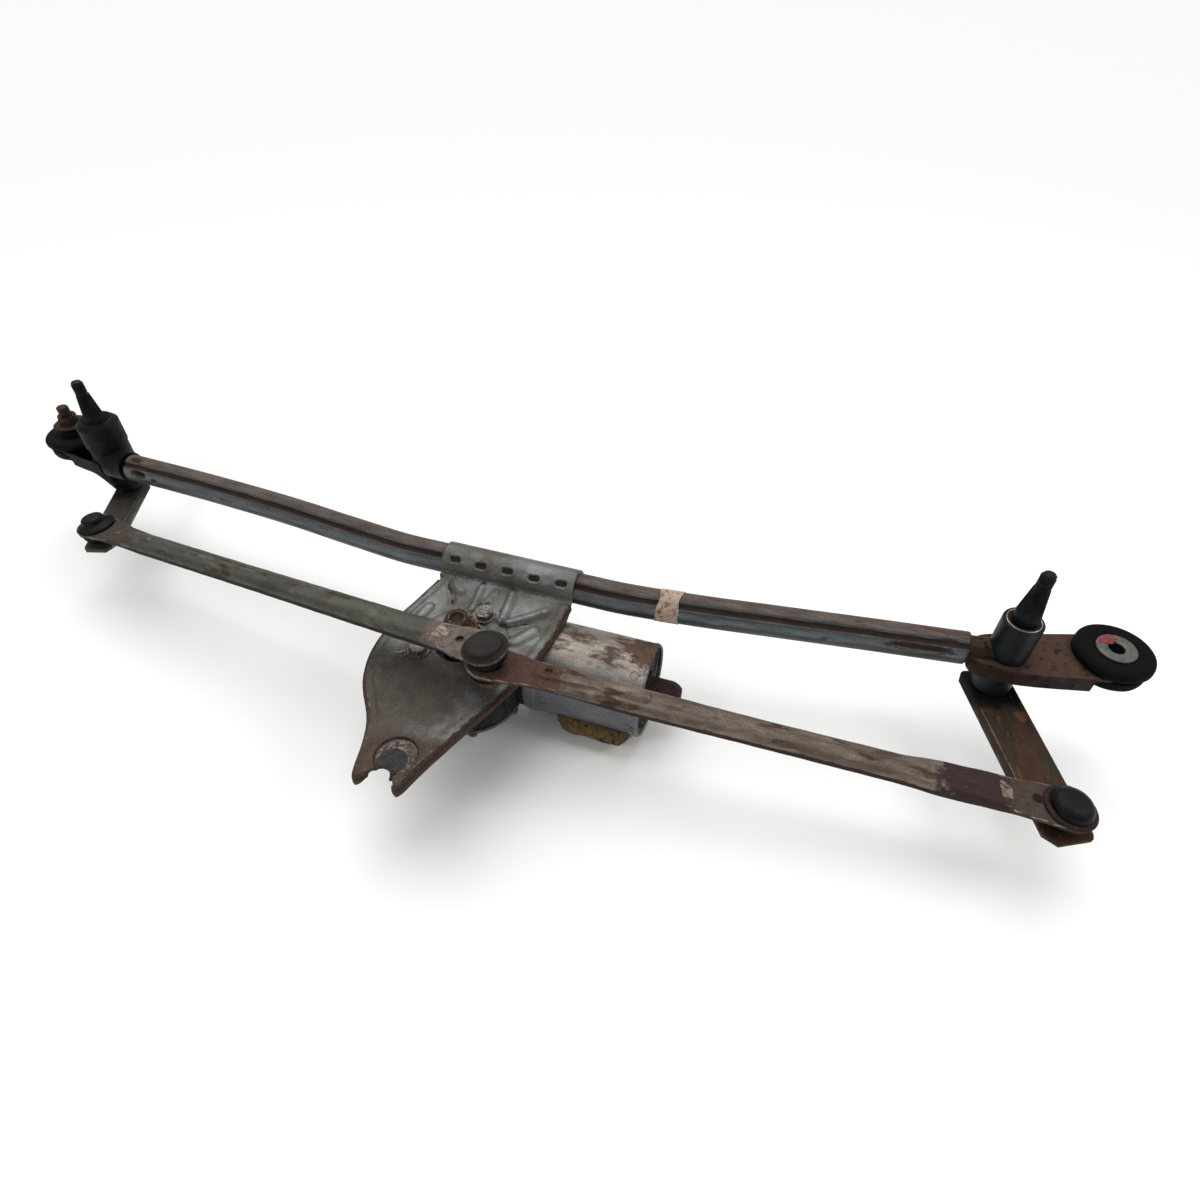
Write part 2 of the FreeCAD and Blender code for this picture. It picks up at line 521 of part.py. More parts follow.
rightArm = eyeArm(1, rx, RIGHT_EYE, SLEEVE_R, 7.0, TUBE_RIGHT_X)
rightStem = Part.makeCylinder(stemR, 34, V(rx - 5, -0.68, 0), V(-1, -0.12, 0))
rightArm = fused([rightArm, rightStem]).cut(cyl(SLEEVE_R + FIT_GAP, -40, 40, rx, 0))
parts["right_arm"] = rightArm
leftArm = eyeArm(-1, lx, LEFT_EYE, HOUSING_R - 0.8, 7.0, lx + 12)
keep = box(-420, lx - 2, -60, 60, -30, 30)
parts["left_arm"] = leftArm.common(keep).cut(housing.common(keep)).cut(cyl(HOUSING_R + FIT_GAP, -40, 40, lx, 0))


def grommet(eye):
    profile = [(EYE_SLEEVE_R + FIT_GAP, GROMMET_BOTTOM), (17.0, GROMMET_BOTTOM), (19.5, GROMMET_BOTTOM + 2),
               (19.5, -1.0 - FIT_GAP), (GROMMET_NECK_R, -1.0 - FIT_GAP), (GROMMET_NECK_R, 1.0 + FIT_GAP),
               (GROMMET_R, 1.0 + FIT_GAP), (GROMMET_R, 4.4), (GROMMET_R - 1.2, 6.2), (GROMMET_R - 3.4, GROMMET_TOP),
               (EYE_WASHER_R + 0.8, GROMMET_TOP), (EYE_WASHER_R + 0.3, GROMMET_TOP - 0.6),
               (EYE_SLEEVE_R + FIT_GAP, GROMMET_TOP - 0.6)]
    return turned(profile, *eye)


parts["left_grommet"] = grommet(LEFT_EYE)
parts["right_grommet"] = grommet(RIGHT_EYE)
parts["left_eye_sleeve"] = ring(EYE_SLEEVE_R, STUD_BORE_R, GROMMET_BOTTOM - 0.5, GROMMET_TOP - 0.6, *LEFT_EYE)
parts["right_eye_sleeve"] = ring(EYE_SLEEVE_R, EYE_BORE_R, GROMMET_BOTTOM - 0.5, GROMMET_TOP - 0.6, *RIGHT_EYE)
parts["right_eye_washer"] = ring(EYE_WASHER_R, EYE_BORE_R, GROMMET_TOP - 0.6, GROMMET_TOP + 0.8, *RIGHT_EYE)
parts["left_rubber_collar"] = turned([(STUD_BORE_R, 6.4), (9.4, 6.4), (8.6, 10.0), (9.2, 13.0),
                                      (STUD_BORE_R, 13.0)],
                                     *LEFT_EYE)
parts["left_stud_washer"] = turned([(STUD_BORE_R, 13.0), (11.0, 13.0), (11.4, 13.6), (9.0, 14.6),
                                     (STUD_BORE_R, 14.8)],
                                   *LEFT_EYE)
parts["left_stud_nut"] = fused([hexagon(12.0, 14.8, 20.6, LEFT_EYE[0], LEFT_EYE[1], 20),
                                cyl(7.2, 14.8, 16.2, *LEFT_EYE)]).cut(cyl(STUD_SHANK_R + FIT_GAP, 0, 40, *LEFT_EYE))
parts["left_stud"] = turned([(0, -11.5), (9.0, -11.5), (9.0, GROMMET_BOTTOM - 0.5),
                             (STUD_SHANK_R, GROMMET_BOTTOM - 0.5), (STUD_SHANK_R, 20.8), (STUD_R, 20.8),
                             (STUD_R, 26.6), (STUD_R - 0.6, 27.4), (0, 27.4)],
                            *LEFT_EYE)

# gearbox: cast housing with a room for the worm wheel and a tunnel for the worm
shaftX, shaftY = SHAFT_AT
shell = cyl(BOX_R, BOX_BOTTOM, PLATE_TOP - SHEET - 4, *SHAFT_AT)
shell = shell.makeFillet(3.0, [e for e in shell.Edges if abs(e.BoundBox.ZMax - BOX_BOTTOM) < 0.01])
tunnel = cylX(13.0, shaftX - 34, CAN_X[0] - 4, MOTOR_Y, MOTOR_Z)
flange = cylX(CAN_R - 0.6, CAN_X[0] - 5, CAN_X[0], MOTOR_Y, MOTOR_Z)
seats = [cyl(7.5, -30, PLATE_TOP - SHEET, *polar(SHAFT_AT, BOLT_CIRCLE_R, a)) for a in BOLT_ANGLES]
nose = cyl(11.0, -20, PLATE_TOP - SHEET + 2.5, *SHAFT_AT)
webs = [box(shaftX + 10, CAN_X[0] - 3, MOTOR_Y - 3, MOTOR_Y + 3, MOTOR_Z, PLATE_TOP - SHEET - 5),
        box(shaftX + 20, CAN_X[0] - 1, MOTOR_Y - 26, MOTOR_Y - 20, MOTOR_Z - 6, MOTOR_Z + 10)]
gearbox = fused([shell, tunnel, flange, nose] + seats + webs)
room = cyl(BOX_R - 4, BOX_BOTTOM - 1, -33, *SHAFT_AT)
bores = [room, cylX(8.0, shaftX - 28, CAN_X[0] + 1, MOTOR_Y, MOTOR_Z), cyl(OUTPUT_R + RUN_GAP, -60, 10, *SHAFT_AT),
         cylX(CAN_R - 5, CAN_X[0] - 2.5, CAN_X[0] + 1, MOTOR_Y, MOTOR_Z)]
bores += [cyl(3.0 + FIT_GAP, -26, 0, *polar(SHAFT_AT, BOLT_CIRCLE_R, a)) for a in BOLT_ANGLES]
coverAngles = (-8.0, -62.0, -118.0, -172.0)
bores += [cyl(1.7, BOX_BOTTOM - 1, BOX_BOTTOM + 8, *polar(SHAFT_AT, BOX_R - 2.2, a)) for a in coverAngles]
gearbox = gearbox.cut(bores)
parts["gear_housing"] = gearbox
cover = cyl(BOX_R - 0.2, BOX_BOTTOM - 2.2, BOX_BOTTOM - FIT_GAP, *SHAFT_AT)
cover = cover.fuse(cyl(12, BOX_BOTTOM - 4.2, BOX_BOTTOM - 2.1, *SHAFT_AT)).removeSplitter()
coverRelief = [cylX(13.4, -60, 60, MOTOR_Y, MOTOR_Z), cylX(CAN_R, CAN_X[0] - 8, 60, MOTOR_Y, MOTOR_Z)]
cover = cover.cut(coverRelief)
parts["gear_cover"] = cover.cut([cyl(1.7, -60, -40, *polar(SHAFT_AT, BOX_R - 2.2, a)) for a in coverAngles])
screws = []
for a in coverAngles:
    x, y = polar(SHAFT_AT, BOX_R - 2.2, a)
    head = cyl(2.9, BOX_BOTTOM - 4.2, BOX_BOTTOM - 2.25, x, y)
    screws.append(head.fuse(cyl(1.6, BOX_BOTTOM - 2.3, BOX_BOTTOM + 6, x, y)).removeSplitter())
parts["cover_screws"] = Part.makeCompound(screws)

seat = PLATE_TOP + PAD_LIFT
bolts = []
for i, a in enumerate(BOLT_ANGLES):
    x, y = polar(SHAFT_AT, BOLT_CIRCLE_R, a)
    head = hexagon(10.0, seat + 0.9, seat + 4.1, x, y, 15 + 17 * i)
    bolts.append(fused([head, cyl(7.0, seat, seat + 1.1, x, y), cyl(3.0, -24, seat + 0.5, x, y)]))
parts["motor_bolts"] = Part.makeCompound(bolts)

# worm wheel and armature; the teeth run a little apart from the worm
teeth = []
for i in range(WHEEL_TEETH * 2):
    r = WHEEL_TIP_R if i % 2 == 0 else WHEEL_TIP_R - 1.3
    for shift in (-0.28, 0.28):
        teeth.append(polar(SHAFT_AT, r, (i + shift) * 180.0 / WHEEL_TEETH))
wheel = prism(teeth, MOTOR_Z - 4, MOTOR_Z + 4)
wheel = wheel.cut([cyl(OUTPUT_R + FIT_GAP, -60, 0, *SHAFT_AT), ring(17, 9, MOTOR_Z + 2, MOTOR_Z + 5, *SHAFT_AT)])
parts["worm_wheel"] = wheel

wormPitch = 2 * math.pi * (WHEEL_TIP_R - 0.6) / WHEEL_TEETH
wormBlank = cylX(4.0, -10, 38, MOTOR_Y, MOTOR_Z)
helix = Part.makeHelix(wormPitch, 30, 4.6)
tooth = Part.makePolygon([V(3.6, 0, -0.75), V(WORM_R, 0, -0.3), V(WORM_R, 0, 0.3), V(3.6, 0, 0.75), V(3.6, 0, -0.75)])
thread = Part.Wire(helix).makePipeShell([tooth], True, True)
thread.rotate(V(0, 0, 0), V(0, 1, 0), 90)
thread.translate(V(-2, MOTOR_Y, MOTOR_Z))
shaftBody = fused([cylX(3.0, -14, 132, MOTOR_Y, MOTOR_Z), wormBlank])
parts["armature_shaft"] = shaftBody.fuse(thread)

core = cylX(15.5, 70, 104, MOTOR_Y, MOTOR_Z)
coreSlots = []
for i in range(8):
    a = 2 * math.pi * i / 8
    slotBox = Part.makeBox(40, 7, 2.2, V(67, 10, -1.1))
    slotRoot = Part.makeCylinder(3.0, 40, V(67, 10, 0), V(1, 0, 0))
    cutter = slotBox.fuse(slotRoot)
    cutter.rotate(V(0, 0, 0), V(1, 0, 0), 45 * i)
    cutter.translate(V(0, MOTOR_Y, MOTOR_Z))
    coreSlots.append(cutter)
core = core.cut(coreSlots + [cylX(3.0 + FIT_GAP, 60, 120, MOTOR_Y, MOTOR_Z)])
parts["armature_core"] = core
windings = []
for x0, x1 in ((64.5, 69.9), (104.1, 109.5)):
    windings.append(ringX(13.5, 3.0 + 2 * FIT_GAP, x0, x1, MOTOR_Y, MOTOR_Z))
parts["armature_windings"] = Part.makeCompound(windings)
parts["commutator"] = ringX(8.5, 3.0 + FIT_GAP, 56.5, 63.5, MOTOR_Y, MOTOR_Z)

# motor can with a recessed end plate and a domed rear bearing
x0, x1 = CAN_X
can = ringX(CAN_R, CAN_R - CAN_WALL, x0, x1, MOTOR_Y, MOTOR_Z)
band = ringX(CAN_R + 0.5, CAN_R - 0.2, x0, x0 + 7.5, MOTOR_Y, MOTOR_Z)
can = fused([can, band])
for spot, angle in ((112, 52), (114, 128), (112, -70), (60, -60)):
    a = math.radians(angle)
    dimple = Part.makeSphere(3.0, V(spot, MOTOR_Y + (CAN_R + 2.2) * math.cos(a), MOTOR_Z + (CAN_R + 2.2) * math.sin(a)))
    can = can.cut(dimple)
for angle in (64, 184, 304):
    notch = Part.makeBox(5, 6, 8, V(x1 - 3.4, -3, CAN_R - 4))
    notch.rotate(V(0, 0, 0), V(1, 0, 0), angle)
    notch.translate(V(0, MOTOR_Y, MOTOR_Z))
    can = can.cut(notch)
parts["motor_can"] = can
inner = CAN_R - CAN_WALL - FIT_GAP
endPlate = fused([cylX(inner, x1 - 5.5, x1 - 3.5, MOTOR_Y, MOTOR_Z), cylX(12, x1 - 3.6, x1 - 1, MOTOR_Y, MOTOR_Z),
                  cylX(9.0, x1 - 3.6, x1 + 14, MOTOR_Y, MOTOR_Z)])
dome = Part.makeSphere(9.0, V(x1 + 11, MOTOR_Y, MOTOR_Z))
endPlate = fused([endPlate.common(box(x1 - 10, x1 + 11, -200, 100, -200, 100)),
                  dome.common(box(x1 + 10.9, x1 + 18, -200, 100, -200, 100))])
parts["motor_end_plate"] = endPlate.cut(cylX(6.0, x1 - 8, x1 + 11.5, MOTOR_Y, MOTOR_Z))
parts["rear_bearing"] = ringX(6.0 - FIT_GAP, 3.0 + RUN_GAP, x1 + 1, x1 + 9, MOTOR_Y, MOTOR_Z)
magnets = []
full = ringX(CAN_R - CAN_WALL - FIT_GAP, 16.6, 68, 108, MOTOR_Y, MOTOR_Z)
for lowest, highest in ((5, 40), (-40, -5)):
    magnets.append(full.common(box(60, 115, MOTOR_Y - 40, MOTOR_Y + 40, MOTOR_Z + lowest, MOTOR_Z + highest)))
parts["motor_magnets"] = Part.makeCompound(magnets)
brushPlate = ringX(CAN_R - CAN_WALL - FIT_GAP, 10.5, x0 + 0.2, x0 + 2.8, MOTOR_Y, MOTOR_Z)
guides = []
brushes = []
for side in (-1, 1):
    y0, y1 = sorted((MOTOR_Y + side * 11, MOTOR_Y + side * 22))
    guide = box(x0 + 2.7, x0 + 13, y0, y1, MOTOR_Z - 4, MOTOR_Z + 4)
    slot = box(x0 + 6, x0 + 12, y0 - 1, y1 + 1, MOTOR_Z - 2.6, MOTOR_Z + 2.6)
    guides.append(guide.cut(slot))
    y2, y3 = sorted((MOTOR_Y + side * 8.8, MOTOR_Y + side * 18))
    brushes.append(box(x0 + 6.1, x0 + 11.9, y2, y3, MOTOR_Z - 2.5, MOTOR_Z + 2.5))
parts["brush_plate"] = fused([brushPlate] + guides)
parts["motor_brushes"] = Part.makeCompound(brushes)

# plug housing with its blades, on the far side of the gearbox
plugX = shaftX - 54
plug = box(plugX, plugX + 26, -84, -58, -40, -24)
plug = plug.cut(box(plugX - 1, plugX + 16, -82, -60, -38, -26))
parts["plug_housing"] = plug.cut(cyl(BOX_R + FIT_GAP, -80, 0, *SHAFT_AT)).cut(tunnel)
blades = []
for i in range(4):
    y = -79 + 5.4 * i
    blades.append(box(plugX + 6, plugX + 16 - FIT_GAP, y, y + 0.8, -35, -29))
parts["plug_blades"] = Part.makeCompound(blades)

# foam strip stuck under the can and a turn of tape on the tube
foam = cylX(CAN_R + 3.4, 66, 104, MOTOR_Y, MOTOR_Z).cut(cylX(CAN_R + FIT_GAP, 60, 110, MOTOR_Y, MOTOR_Z))
foamKeep = prism([(60, MOTOR_Y - 36), (110, MOTOR_Y - 36), (110, MOTOR_Y - 8), (60, MOTOR_Y - 12)], -80, MOTOR_Z - 16)
parts["foam_pad"] = foam.common(foamKeep)
tapeSkin = sweep(TUBE_R + 0.45, False).cut(sweep(TUBE_R + 0.04, False))
parts["tape_strip"] = tapeSkin.common(box(116, 128, -60, 20, -20, 20))

# export
os.makedirs("parts", exist_ok=True)
shift = V(-RIGHT_EYE[0], -RIGHT_EYE[1], 0)
for name, shape in parts.items():
    moved = shape.copy()
    moved.translate(shift)
    moved.exportStep("parts/%s.step" % name)
print(len(parts), "sub-parts written")
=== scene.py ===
import json
import math
import random

import bmesh
import bpy
import numpy as np
from mathutils import Matrix, Vector
from mathutils.geometry import delaunay_2d_cdt

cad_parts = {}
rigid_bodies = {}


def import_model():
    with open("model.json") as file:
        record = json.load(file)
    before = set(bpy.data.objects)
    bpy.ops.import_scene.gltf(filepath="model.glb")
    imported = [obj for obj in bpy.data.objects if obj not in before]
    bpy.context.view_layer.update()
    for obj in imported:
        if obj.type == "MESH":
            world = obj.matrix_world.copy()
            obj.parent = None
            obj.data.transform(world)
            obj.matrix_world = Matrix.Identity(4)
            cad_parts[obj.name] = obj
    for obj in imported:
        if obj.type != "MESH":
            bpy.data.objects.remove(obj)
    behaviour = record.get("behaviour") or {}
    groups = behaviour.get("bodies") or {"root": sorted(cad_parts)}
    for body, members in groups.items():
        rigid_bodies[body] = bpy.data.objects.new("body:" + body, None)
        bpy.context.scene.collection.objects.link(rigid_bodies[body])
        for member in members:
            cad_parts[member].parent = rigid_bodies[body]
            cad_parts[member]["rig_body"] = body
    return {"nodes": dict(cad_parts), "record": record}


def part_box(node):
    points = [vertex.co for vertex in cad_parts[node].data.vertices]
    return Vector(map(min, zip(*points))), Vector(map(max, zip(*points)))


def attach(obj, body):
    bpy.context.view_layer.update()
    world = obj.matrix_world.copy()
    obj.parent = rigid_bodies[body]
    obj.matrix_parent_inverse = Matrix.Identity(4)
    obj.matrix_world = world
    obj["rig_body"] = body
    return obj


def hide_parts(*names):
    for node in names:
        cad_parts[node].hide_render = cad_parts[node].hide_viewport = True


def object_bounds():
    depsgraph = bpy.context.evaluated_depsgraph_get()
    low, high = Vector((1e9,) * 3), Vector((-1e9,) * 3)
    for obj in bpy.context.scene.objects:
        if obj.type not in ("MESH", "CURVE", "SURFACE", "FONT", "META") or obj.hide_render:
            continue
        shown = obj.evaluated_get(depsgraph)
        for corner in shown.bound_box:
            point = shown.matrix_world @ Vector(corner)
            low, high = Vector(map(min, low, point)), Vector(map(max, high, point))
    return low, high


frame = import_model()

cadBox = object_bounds()
print("frame loaded:", len(frame["nodes"]), "CAD nodes")

mm = 0.001
joints = {j["name"]: Vector(j["pos_m"]) for j in frame["record"]["behaviour"]["joints"]}
leftAxis = joints["left_spindle_turn"]
rightAxis = joints["right_spindle_turn"]
middle = (leftAxis + rightAxis) / 2
shaftAxis = joints["crank_turn"]
motorAxis = joints["armature_spin"]


def place(x, y, z):
    # millimetres from the point midway between the spindles, at the tube's height
    return Vector((middle.x + x * mm, middle.y + y * mm, z * mm))


# shared helpers

def colours(text):
    # "rrggbb rrggbb" to a list of linear colours
    found = []
    for word in text.split():
        channels = [int(word[i:i + 2], 16) / 255 for i in (0, 2, 4)]
        found.append((*(c / 12.92 if c <= 0.04045 else ((c + 0.055) / 1.055) ** 2.4
                        for c in channels), 1.0))
    return found


def addNode(tree, kind, sockets=None, **settings):
    node = tree.nodes.new(kind)
    for key, value in settings.items():
        setattr(node, key, value)
    for key, value in (sockets or {}).items():
        if isinstance(value, bpy.types.NodeSocket):
            tree.links.new(value, node.inputs[key])
        else:
            node.inputs[key].default_value = value
    return node


def addLayer(tree, coords, state, layer):
    # one layer, whether dirt, rust, wear, painted shade or a painted highlight: where it lies, what
    # colour it is, how it shines
    colour, rough, metal = state
    tones, size, cover, soft, dull, layer = layer
    noiseSpan = 0.62  # noise seldom leaves 0.2 to 0.8
    noise = addNode(tree, "ShaderNodeTexNoise", {
        "Vector": coords, "Scale": 1 / (size * mm), "Detail": layer.get("detail", 5.0),
        "Roughness": 0.6, "Distortion": 0.0})
    cut = 0.5 + (1 - cover - 0.5) * noiseSpan
    mask = noise.outputs[0]
    if "zone" in layer:
        x, y, z, reach = layer["zone"]
        here = addNode(tree, "ShaderNodeTexCoord").outputs["Object"]
        near = addNode(tree, "ShaderNodeVectorMath", {0: here, 1: place(x, y, z)},
                       operation="DISTANCE")
        inside = addNode(tree, "ShaderNodeMapRange", {
            "Value": near.outputs["Value"], "From Min": reach * mm, "From Max": 0.0,
            "To Min": -0.55, "To Max": 0.75})
        mask = addNode(tree, "ShaderNodeMath", {0: mask, 1: inside.outputs[0]},
                       operation="ADD").outputs[0]
    if "facing" in layer:
        normal = addNode(tree, "ShaderNodeNewGeometry").outputs["Normal"]
        *direction, start, full = layer["facing"]
        turned = addNode(tree, "ShaderNodeVectorMath", {0: normal, 1: direction},
                         operation="DOT_PRODUCT")
        toward = addNode(tree, "ShaderNodeMapRange", {
            "Value": turned.outputs["Value"], "From Min": start, "From Max": full, "To Min": -0.6,
            "To Max": 0.3})
        mask = addNode(tree, "ShaderNodeMath", {0: mask, 1: toward.outputs[0]},
                       operation="ADD").outputs[0]
    if "attribute" in layer:
        drawn = addNode(tree, "ShaderNodeAttribute", attribute_name=layer["attribute"])
        lifted = addNode(tree, "ShaderNodeMapRange", {"Value": drawn.outputs["Fac"],
                                                      "To Min": -0.62, "To Max": 0.55})
        mask = addNode(tree, "ShaderNodeMath", {0: mask, 1: lifted.outputs[0]},
                       operation="ADD").outputs[0]
    shown = addNode(tree, "ShaderNodeMapRange", {
        "Value": mask, "From Min": cut - soft, "From Max": cut + soft,
        "To Max": layer.get("strength", 1.0)}, interpolation_type="SMOOTHSTEP").outputs[0]
    paint, *other = colours(tones)
    if other:
        blotch = addNode(tree, "ShaderNodeTexNoise", {"Vector": coords,
                                                      "Scale": 1 / (layer.get("toneSize", 3) * mm),
                                                     "Detail": 4.0, "Roughness": 0.65})
        steps = addNode(tree, "ShaderNodeMapRange", {"Value": blotch.outputs[0], "From Min": 0.36,
                                                     "From Max": 0.64})
        paint = addNode(tree, "ShaderNodeMix", {0: steps.outputs[0], 6: paint, 7: other[0]},
                        data_type="RGBA").outputs[2]
    colour = addNode(tree, "ShaderNodeMix", {0: shown, 6: colour, 7: paint},
                     data_type="RGBA").outputs[2]
    rough = addNode(tree, "ShaderNodeMix", {0: shown, 2: rough, 3: dull}).outputs[0]
    metal = addNode(tree, "ShaderNodeMix", {0: shown, 2: metal,
                                            3: layer.get("metal", 0.0)}).outputs[0]
    return colour, rough, metal


def coat(tones, size, cover, soft, rough, **more):
    # a layer: one or two tones, its patches' size in mm, the share it covers, how soft its edge is
    return tones, size, cover, soft, rough, more


def wornFinish(name, tones, patch, rough, grit, *layers, metal=0.0, grain=(1, 1, 1), turn=0,
               bump=0.5,
               specular=0.3):
    # base tones and the size of their patches, layers in order, then grit (size, depth) in the bump
    gritSize, gritDepth = grit
    dirt, speck = 0.3, 0.9
    material = bpy.data.materials.new(name)
    material.use_nodes = True
    tree = material.node_tree
    tree.nodes.clear()
    coords = addNode(tree, "ShaderNodeTexCoord").outputs["Object"]
    turned = addNode(tree, "ShaderNodeMapping", {"Vector": coords,
                                                 "Rotation": (0, 0, -math.radians(turn))})
    drawn = addNode(tree, "ShaderNodeMapping", {"Vector": turned.outputs[0], "Scale": grain})
    along = drawn.outputs[0]
    blotch = addNode(tree, "ShaderNodeTexNoise", {"Vector": along, "Scale": 1 / (patch * mm),
                                                 "Detail": 6.0, "Roughness": 0.62})
    tone = addNode(tree, "ShaderNodeMapRange", {"Value": blotch.outputs[0], "From Min": 0.34,
                                                "From Max": 0.66})
    first, second = colours(tones)
    colour = addNode(tree, "ShaderNodeMix", {0: tone.outputs[0], 6: first, 7: second},
                     data_type="RGBA").outputs[2]
    low, high = rough
    rough = addNode(tree, "ShaderNodeMapRange", {"Value": blotch.outputs[0], "From Min": 0.3,
                                                 "From Max": 0.7, "To Min": low,
                                                 "To Max": high}).outputs[0]
    state = (colour, rough, metal)
    for layer in layers:
        state = addLayer(tree, coords if layer[-1].get("round") else along, state, layer)
    colour, rough, metal = state
    grain = addNode(tree, "ShaderNodeTexNoise", {"Vector": along, "Scale": 1 / (gritSize * mm),
                                                "Detail": 3.0, "Roughness": 0.6})
    relief = addNode(tree, "ShaderNodeMath", {0: grain.outputs[0], 1: gritDepth, 2: 0.0},
                     operation="MULTIPLY_ADD")
    dented = addNode(tree, "ShaderNodeBump", {"Height": relief.outputs[0], "Strength": bump,
                                            "Distance": 0.4 * mm})
    # fine dirt, as coarse as it has to be to show
    specks = addNode(tree, "ShaderNodeTexNoise", {"Vector": coords, "Scale": 1 / (speck * mm),
                                                  "Detail": 5.0,
                                                 "Roughness": 0.7})
    shade = addNode(tree, "ShaderNodeMapRange", {"Value": specks.outputs[0], "From Min": 0.36,
                                                 "From Max": 0.64, "To Min": 1 - dirt,
                                                 "To Max": 1 + dirt * 0.7})
    colour = addNode(tree, "ShaderNodeVectorMath", {0: colour, "Scale": shade.outputs[0]},
                     operation="SCALE").outputs[0]
    shader = addNode(tree, "ShaderNodeBsdfPrincipled", {
        "Base Color": colour, "Roughness": rough, "Metallic": metal, "Normal": dented.outputs[0],
        "Specular IOR Level": specular})
    addNode(tree, "ShaderNodeOutputMaterial", {"Surface": shader.outputs[0]})
    return material


def addObject(name, data):
    made = bpy.data.objects.new(name, data)
    bpy.context.scene.collection.objects.link(made)
    return made


def dress(mesh, finish, sharp):
    if finish:
        mesh.materials.append(finish)
    mesh.shade_smooth()
    mesh.set_sharp_from_angle(angle=math.radians(sharp))


def smooth(t):
    return t * t * (3 - 2 * t)


def unit(values):
    return np.clip(values, 0, 1)


def band(away, width):
    # 1 on a line, down to 0 this far to either side of it
    return unit(1 - np.abs(away) / width)


def scaledAt(x, y, z):
    # from millimetres about a point, given in metres, to the frame
    return Matrix.Translation(Vector((x, y, z))) @ Matrix.Scale(mm, 4)


def outwardFaces(piece):
    form = bmesh.new()
    form.from_mesh(piece.data)
    bmesh.ops.recalc_face_normals(form, faces=form.faces)
    form.to_mesh(piece.data)
    form.free()


def gridFaces(rows, columns, closed):
    # quads over rows of points, joined round when each row is a ring
    last = columns if closed else columns - 1
    return [(i * columns + j, i * columns + (j + 1) % columns,
             (i + 1) * columns + (j + 1) % columns, (i + 1) * columns + j) for i in range(rows - 1)
             for j in range(last)]


def makePiece(name, verts, faces, finish, body, stands=(), sharp=38, attributes=None):
    mesh = bpy.data.meshes.new(name)
    mesh.from_pydata([tuple(v) for v in verts], [], [tuple(int(i) for i in f) for f in faces])
    mesh.update()
    dress(mesh, finish, sharp)
    for key, values in (attributes or {}).items():
        mesh.attributes.new(key, "FLOAT", "POINT").data.foreach_set("value",
            np.asarray(values, np.float32))
    piece = addObject(name, mesh)
    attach(piece, body)
    if stands:
        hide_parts(*stands)
    return piece


def lathe(profile, turns=96):
    # closed profile of (radius, height) in millimetres, turned about the vertical
    rings, verts, faces = [], [], []
    for r, z in profile:
        if r < 1e-6:
            rings.append([len(verts)])
            verts.append((0, 0, z))
            continue
        rings.append(list(range(len(verts), len(verts) + turns)))
        verts += [(r * math.cos(2 * math.pi * i / turns), r * math.sin(2 * math.pi * i / turns), z)
                  for i in range(turns)]
    for a, b in zip(rings, rings[1:] + rings[:1]):
        if len(a) == 1 and len(b) == 1:
            continue
        for i in range(turns):
            j = (i + 1) % turns
            if len(a) == 1:
                faces.append((a[0], b[j], b[i]))
            elif len(b) == 1:
                faces.append((a[i], a[j], b[0]))
            else:
                faces.append((a[i], a[j], b[j], b[i]))
    return np.array(verts, float), faces


def rounded(profile, reach=0.5, steps=3):
    # softens the corners of a turned profile that doesn't touch the axis there
    out = []
    for i, p in enumerate(profile):
        p = Vector(p)
        before, after = Vector(profile[i - 1]), Vector(profile[(i + 1) % len(profile)])
        if p.x < 1e-6:
            out.append(tuple(p))
            continue
        a = p + (before - p).normalized() * min(reach, (before - p).length * 0.45)
        b = p + (after - p).normalized() * min(reach, (after - p).length * 0.45)
        for k in range(steps + 1):
            t = k / steps
            out.append(tuple(a * (1 - t) ** 2 + p * 2 * t * (1 - t) + b * t * t))
    return out


def spread(points, step):
    # evenly spaced points along a closed outline
    points = [Vector(p) for p in points]
    out = []
    for a, b in zip(points, points[1:] + points[:1]):
        n = max(1, round((b - a).length / step))
        out += [tuple(a.lerp(b, k / n)) for k in range(n)]
    return out


def softLine(points, rounds=2, share=0.22):
    # cuts the corners of an open line and keeps its two ends
    for _ in range(rounds):
        out = [points[0]]
        for a, b in zip(points, points[1:]):
            out.append(tuple((1 - share) * a[k] + share * b[k] for k in (0, 1)))
            out.append(tuple(share * a[k] + (1 - share) * b[k] for k in (0, 1)))
        points = out + [points[-1]]
    return points


def inLoop(points, loop):
    inside = np.zeros(len(points), bool)
    px, py = points[:, 0], points[:, 1]
    for (x0, y0), (x1, y1) in zip(loop, loop[1:] + loop[:1]):
        if y0 == y1:
            continue
        crosses = ((y0 > py) != (y1 > py)) & (px < (x1 - x0) * (py - y0) / (y1 - y0) + x0)
        inside ^= crosses
    return inside


def toSegment(points, a, b):
    a, b = np.array(a, float), np.array(b, float)
    along = np.clip(((points - a) @ (b - a)) / max(((b - a) @ (b - a)), 1e-9), 0, 1)
    return np.linalg.norm(points - (a + along[:, None] * (b - a)), axis=1)


def swell(d, half, height, shoulder=1.2):
    # a pressed rib: full height within half of its line, gone a shoulder further out
    t = unit((half + shoulder - d) / shoulder)
    return height * t * t * (3 - 2 * t)


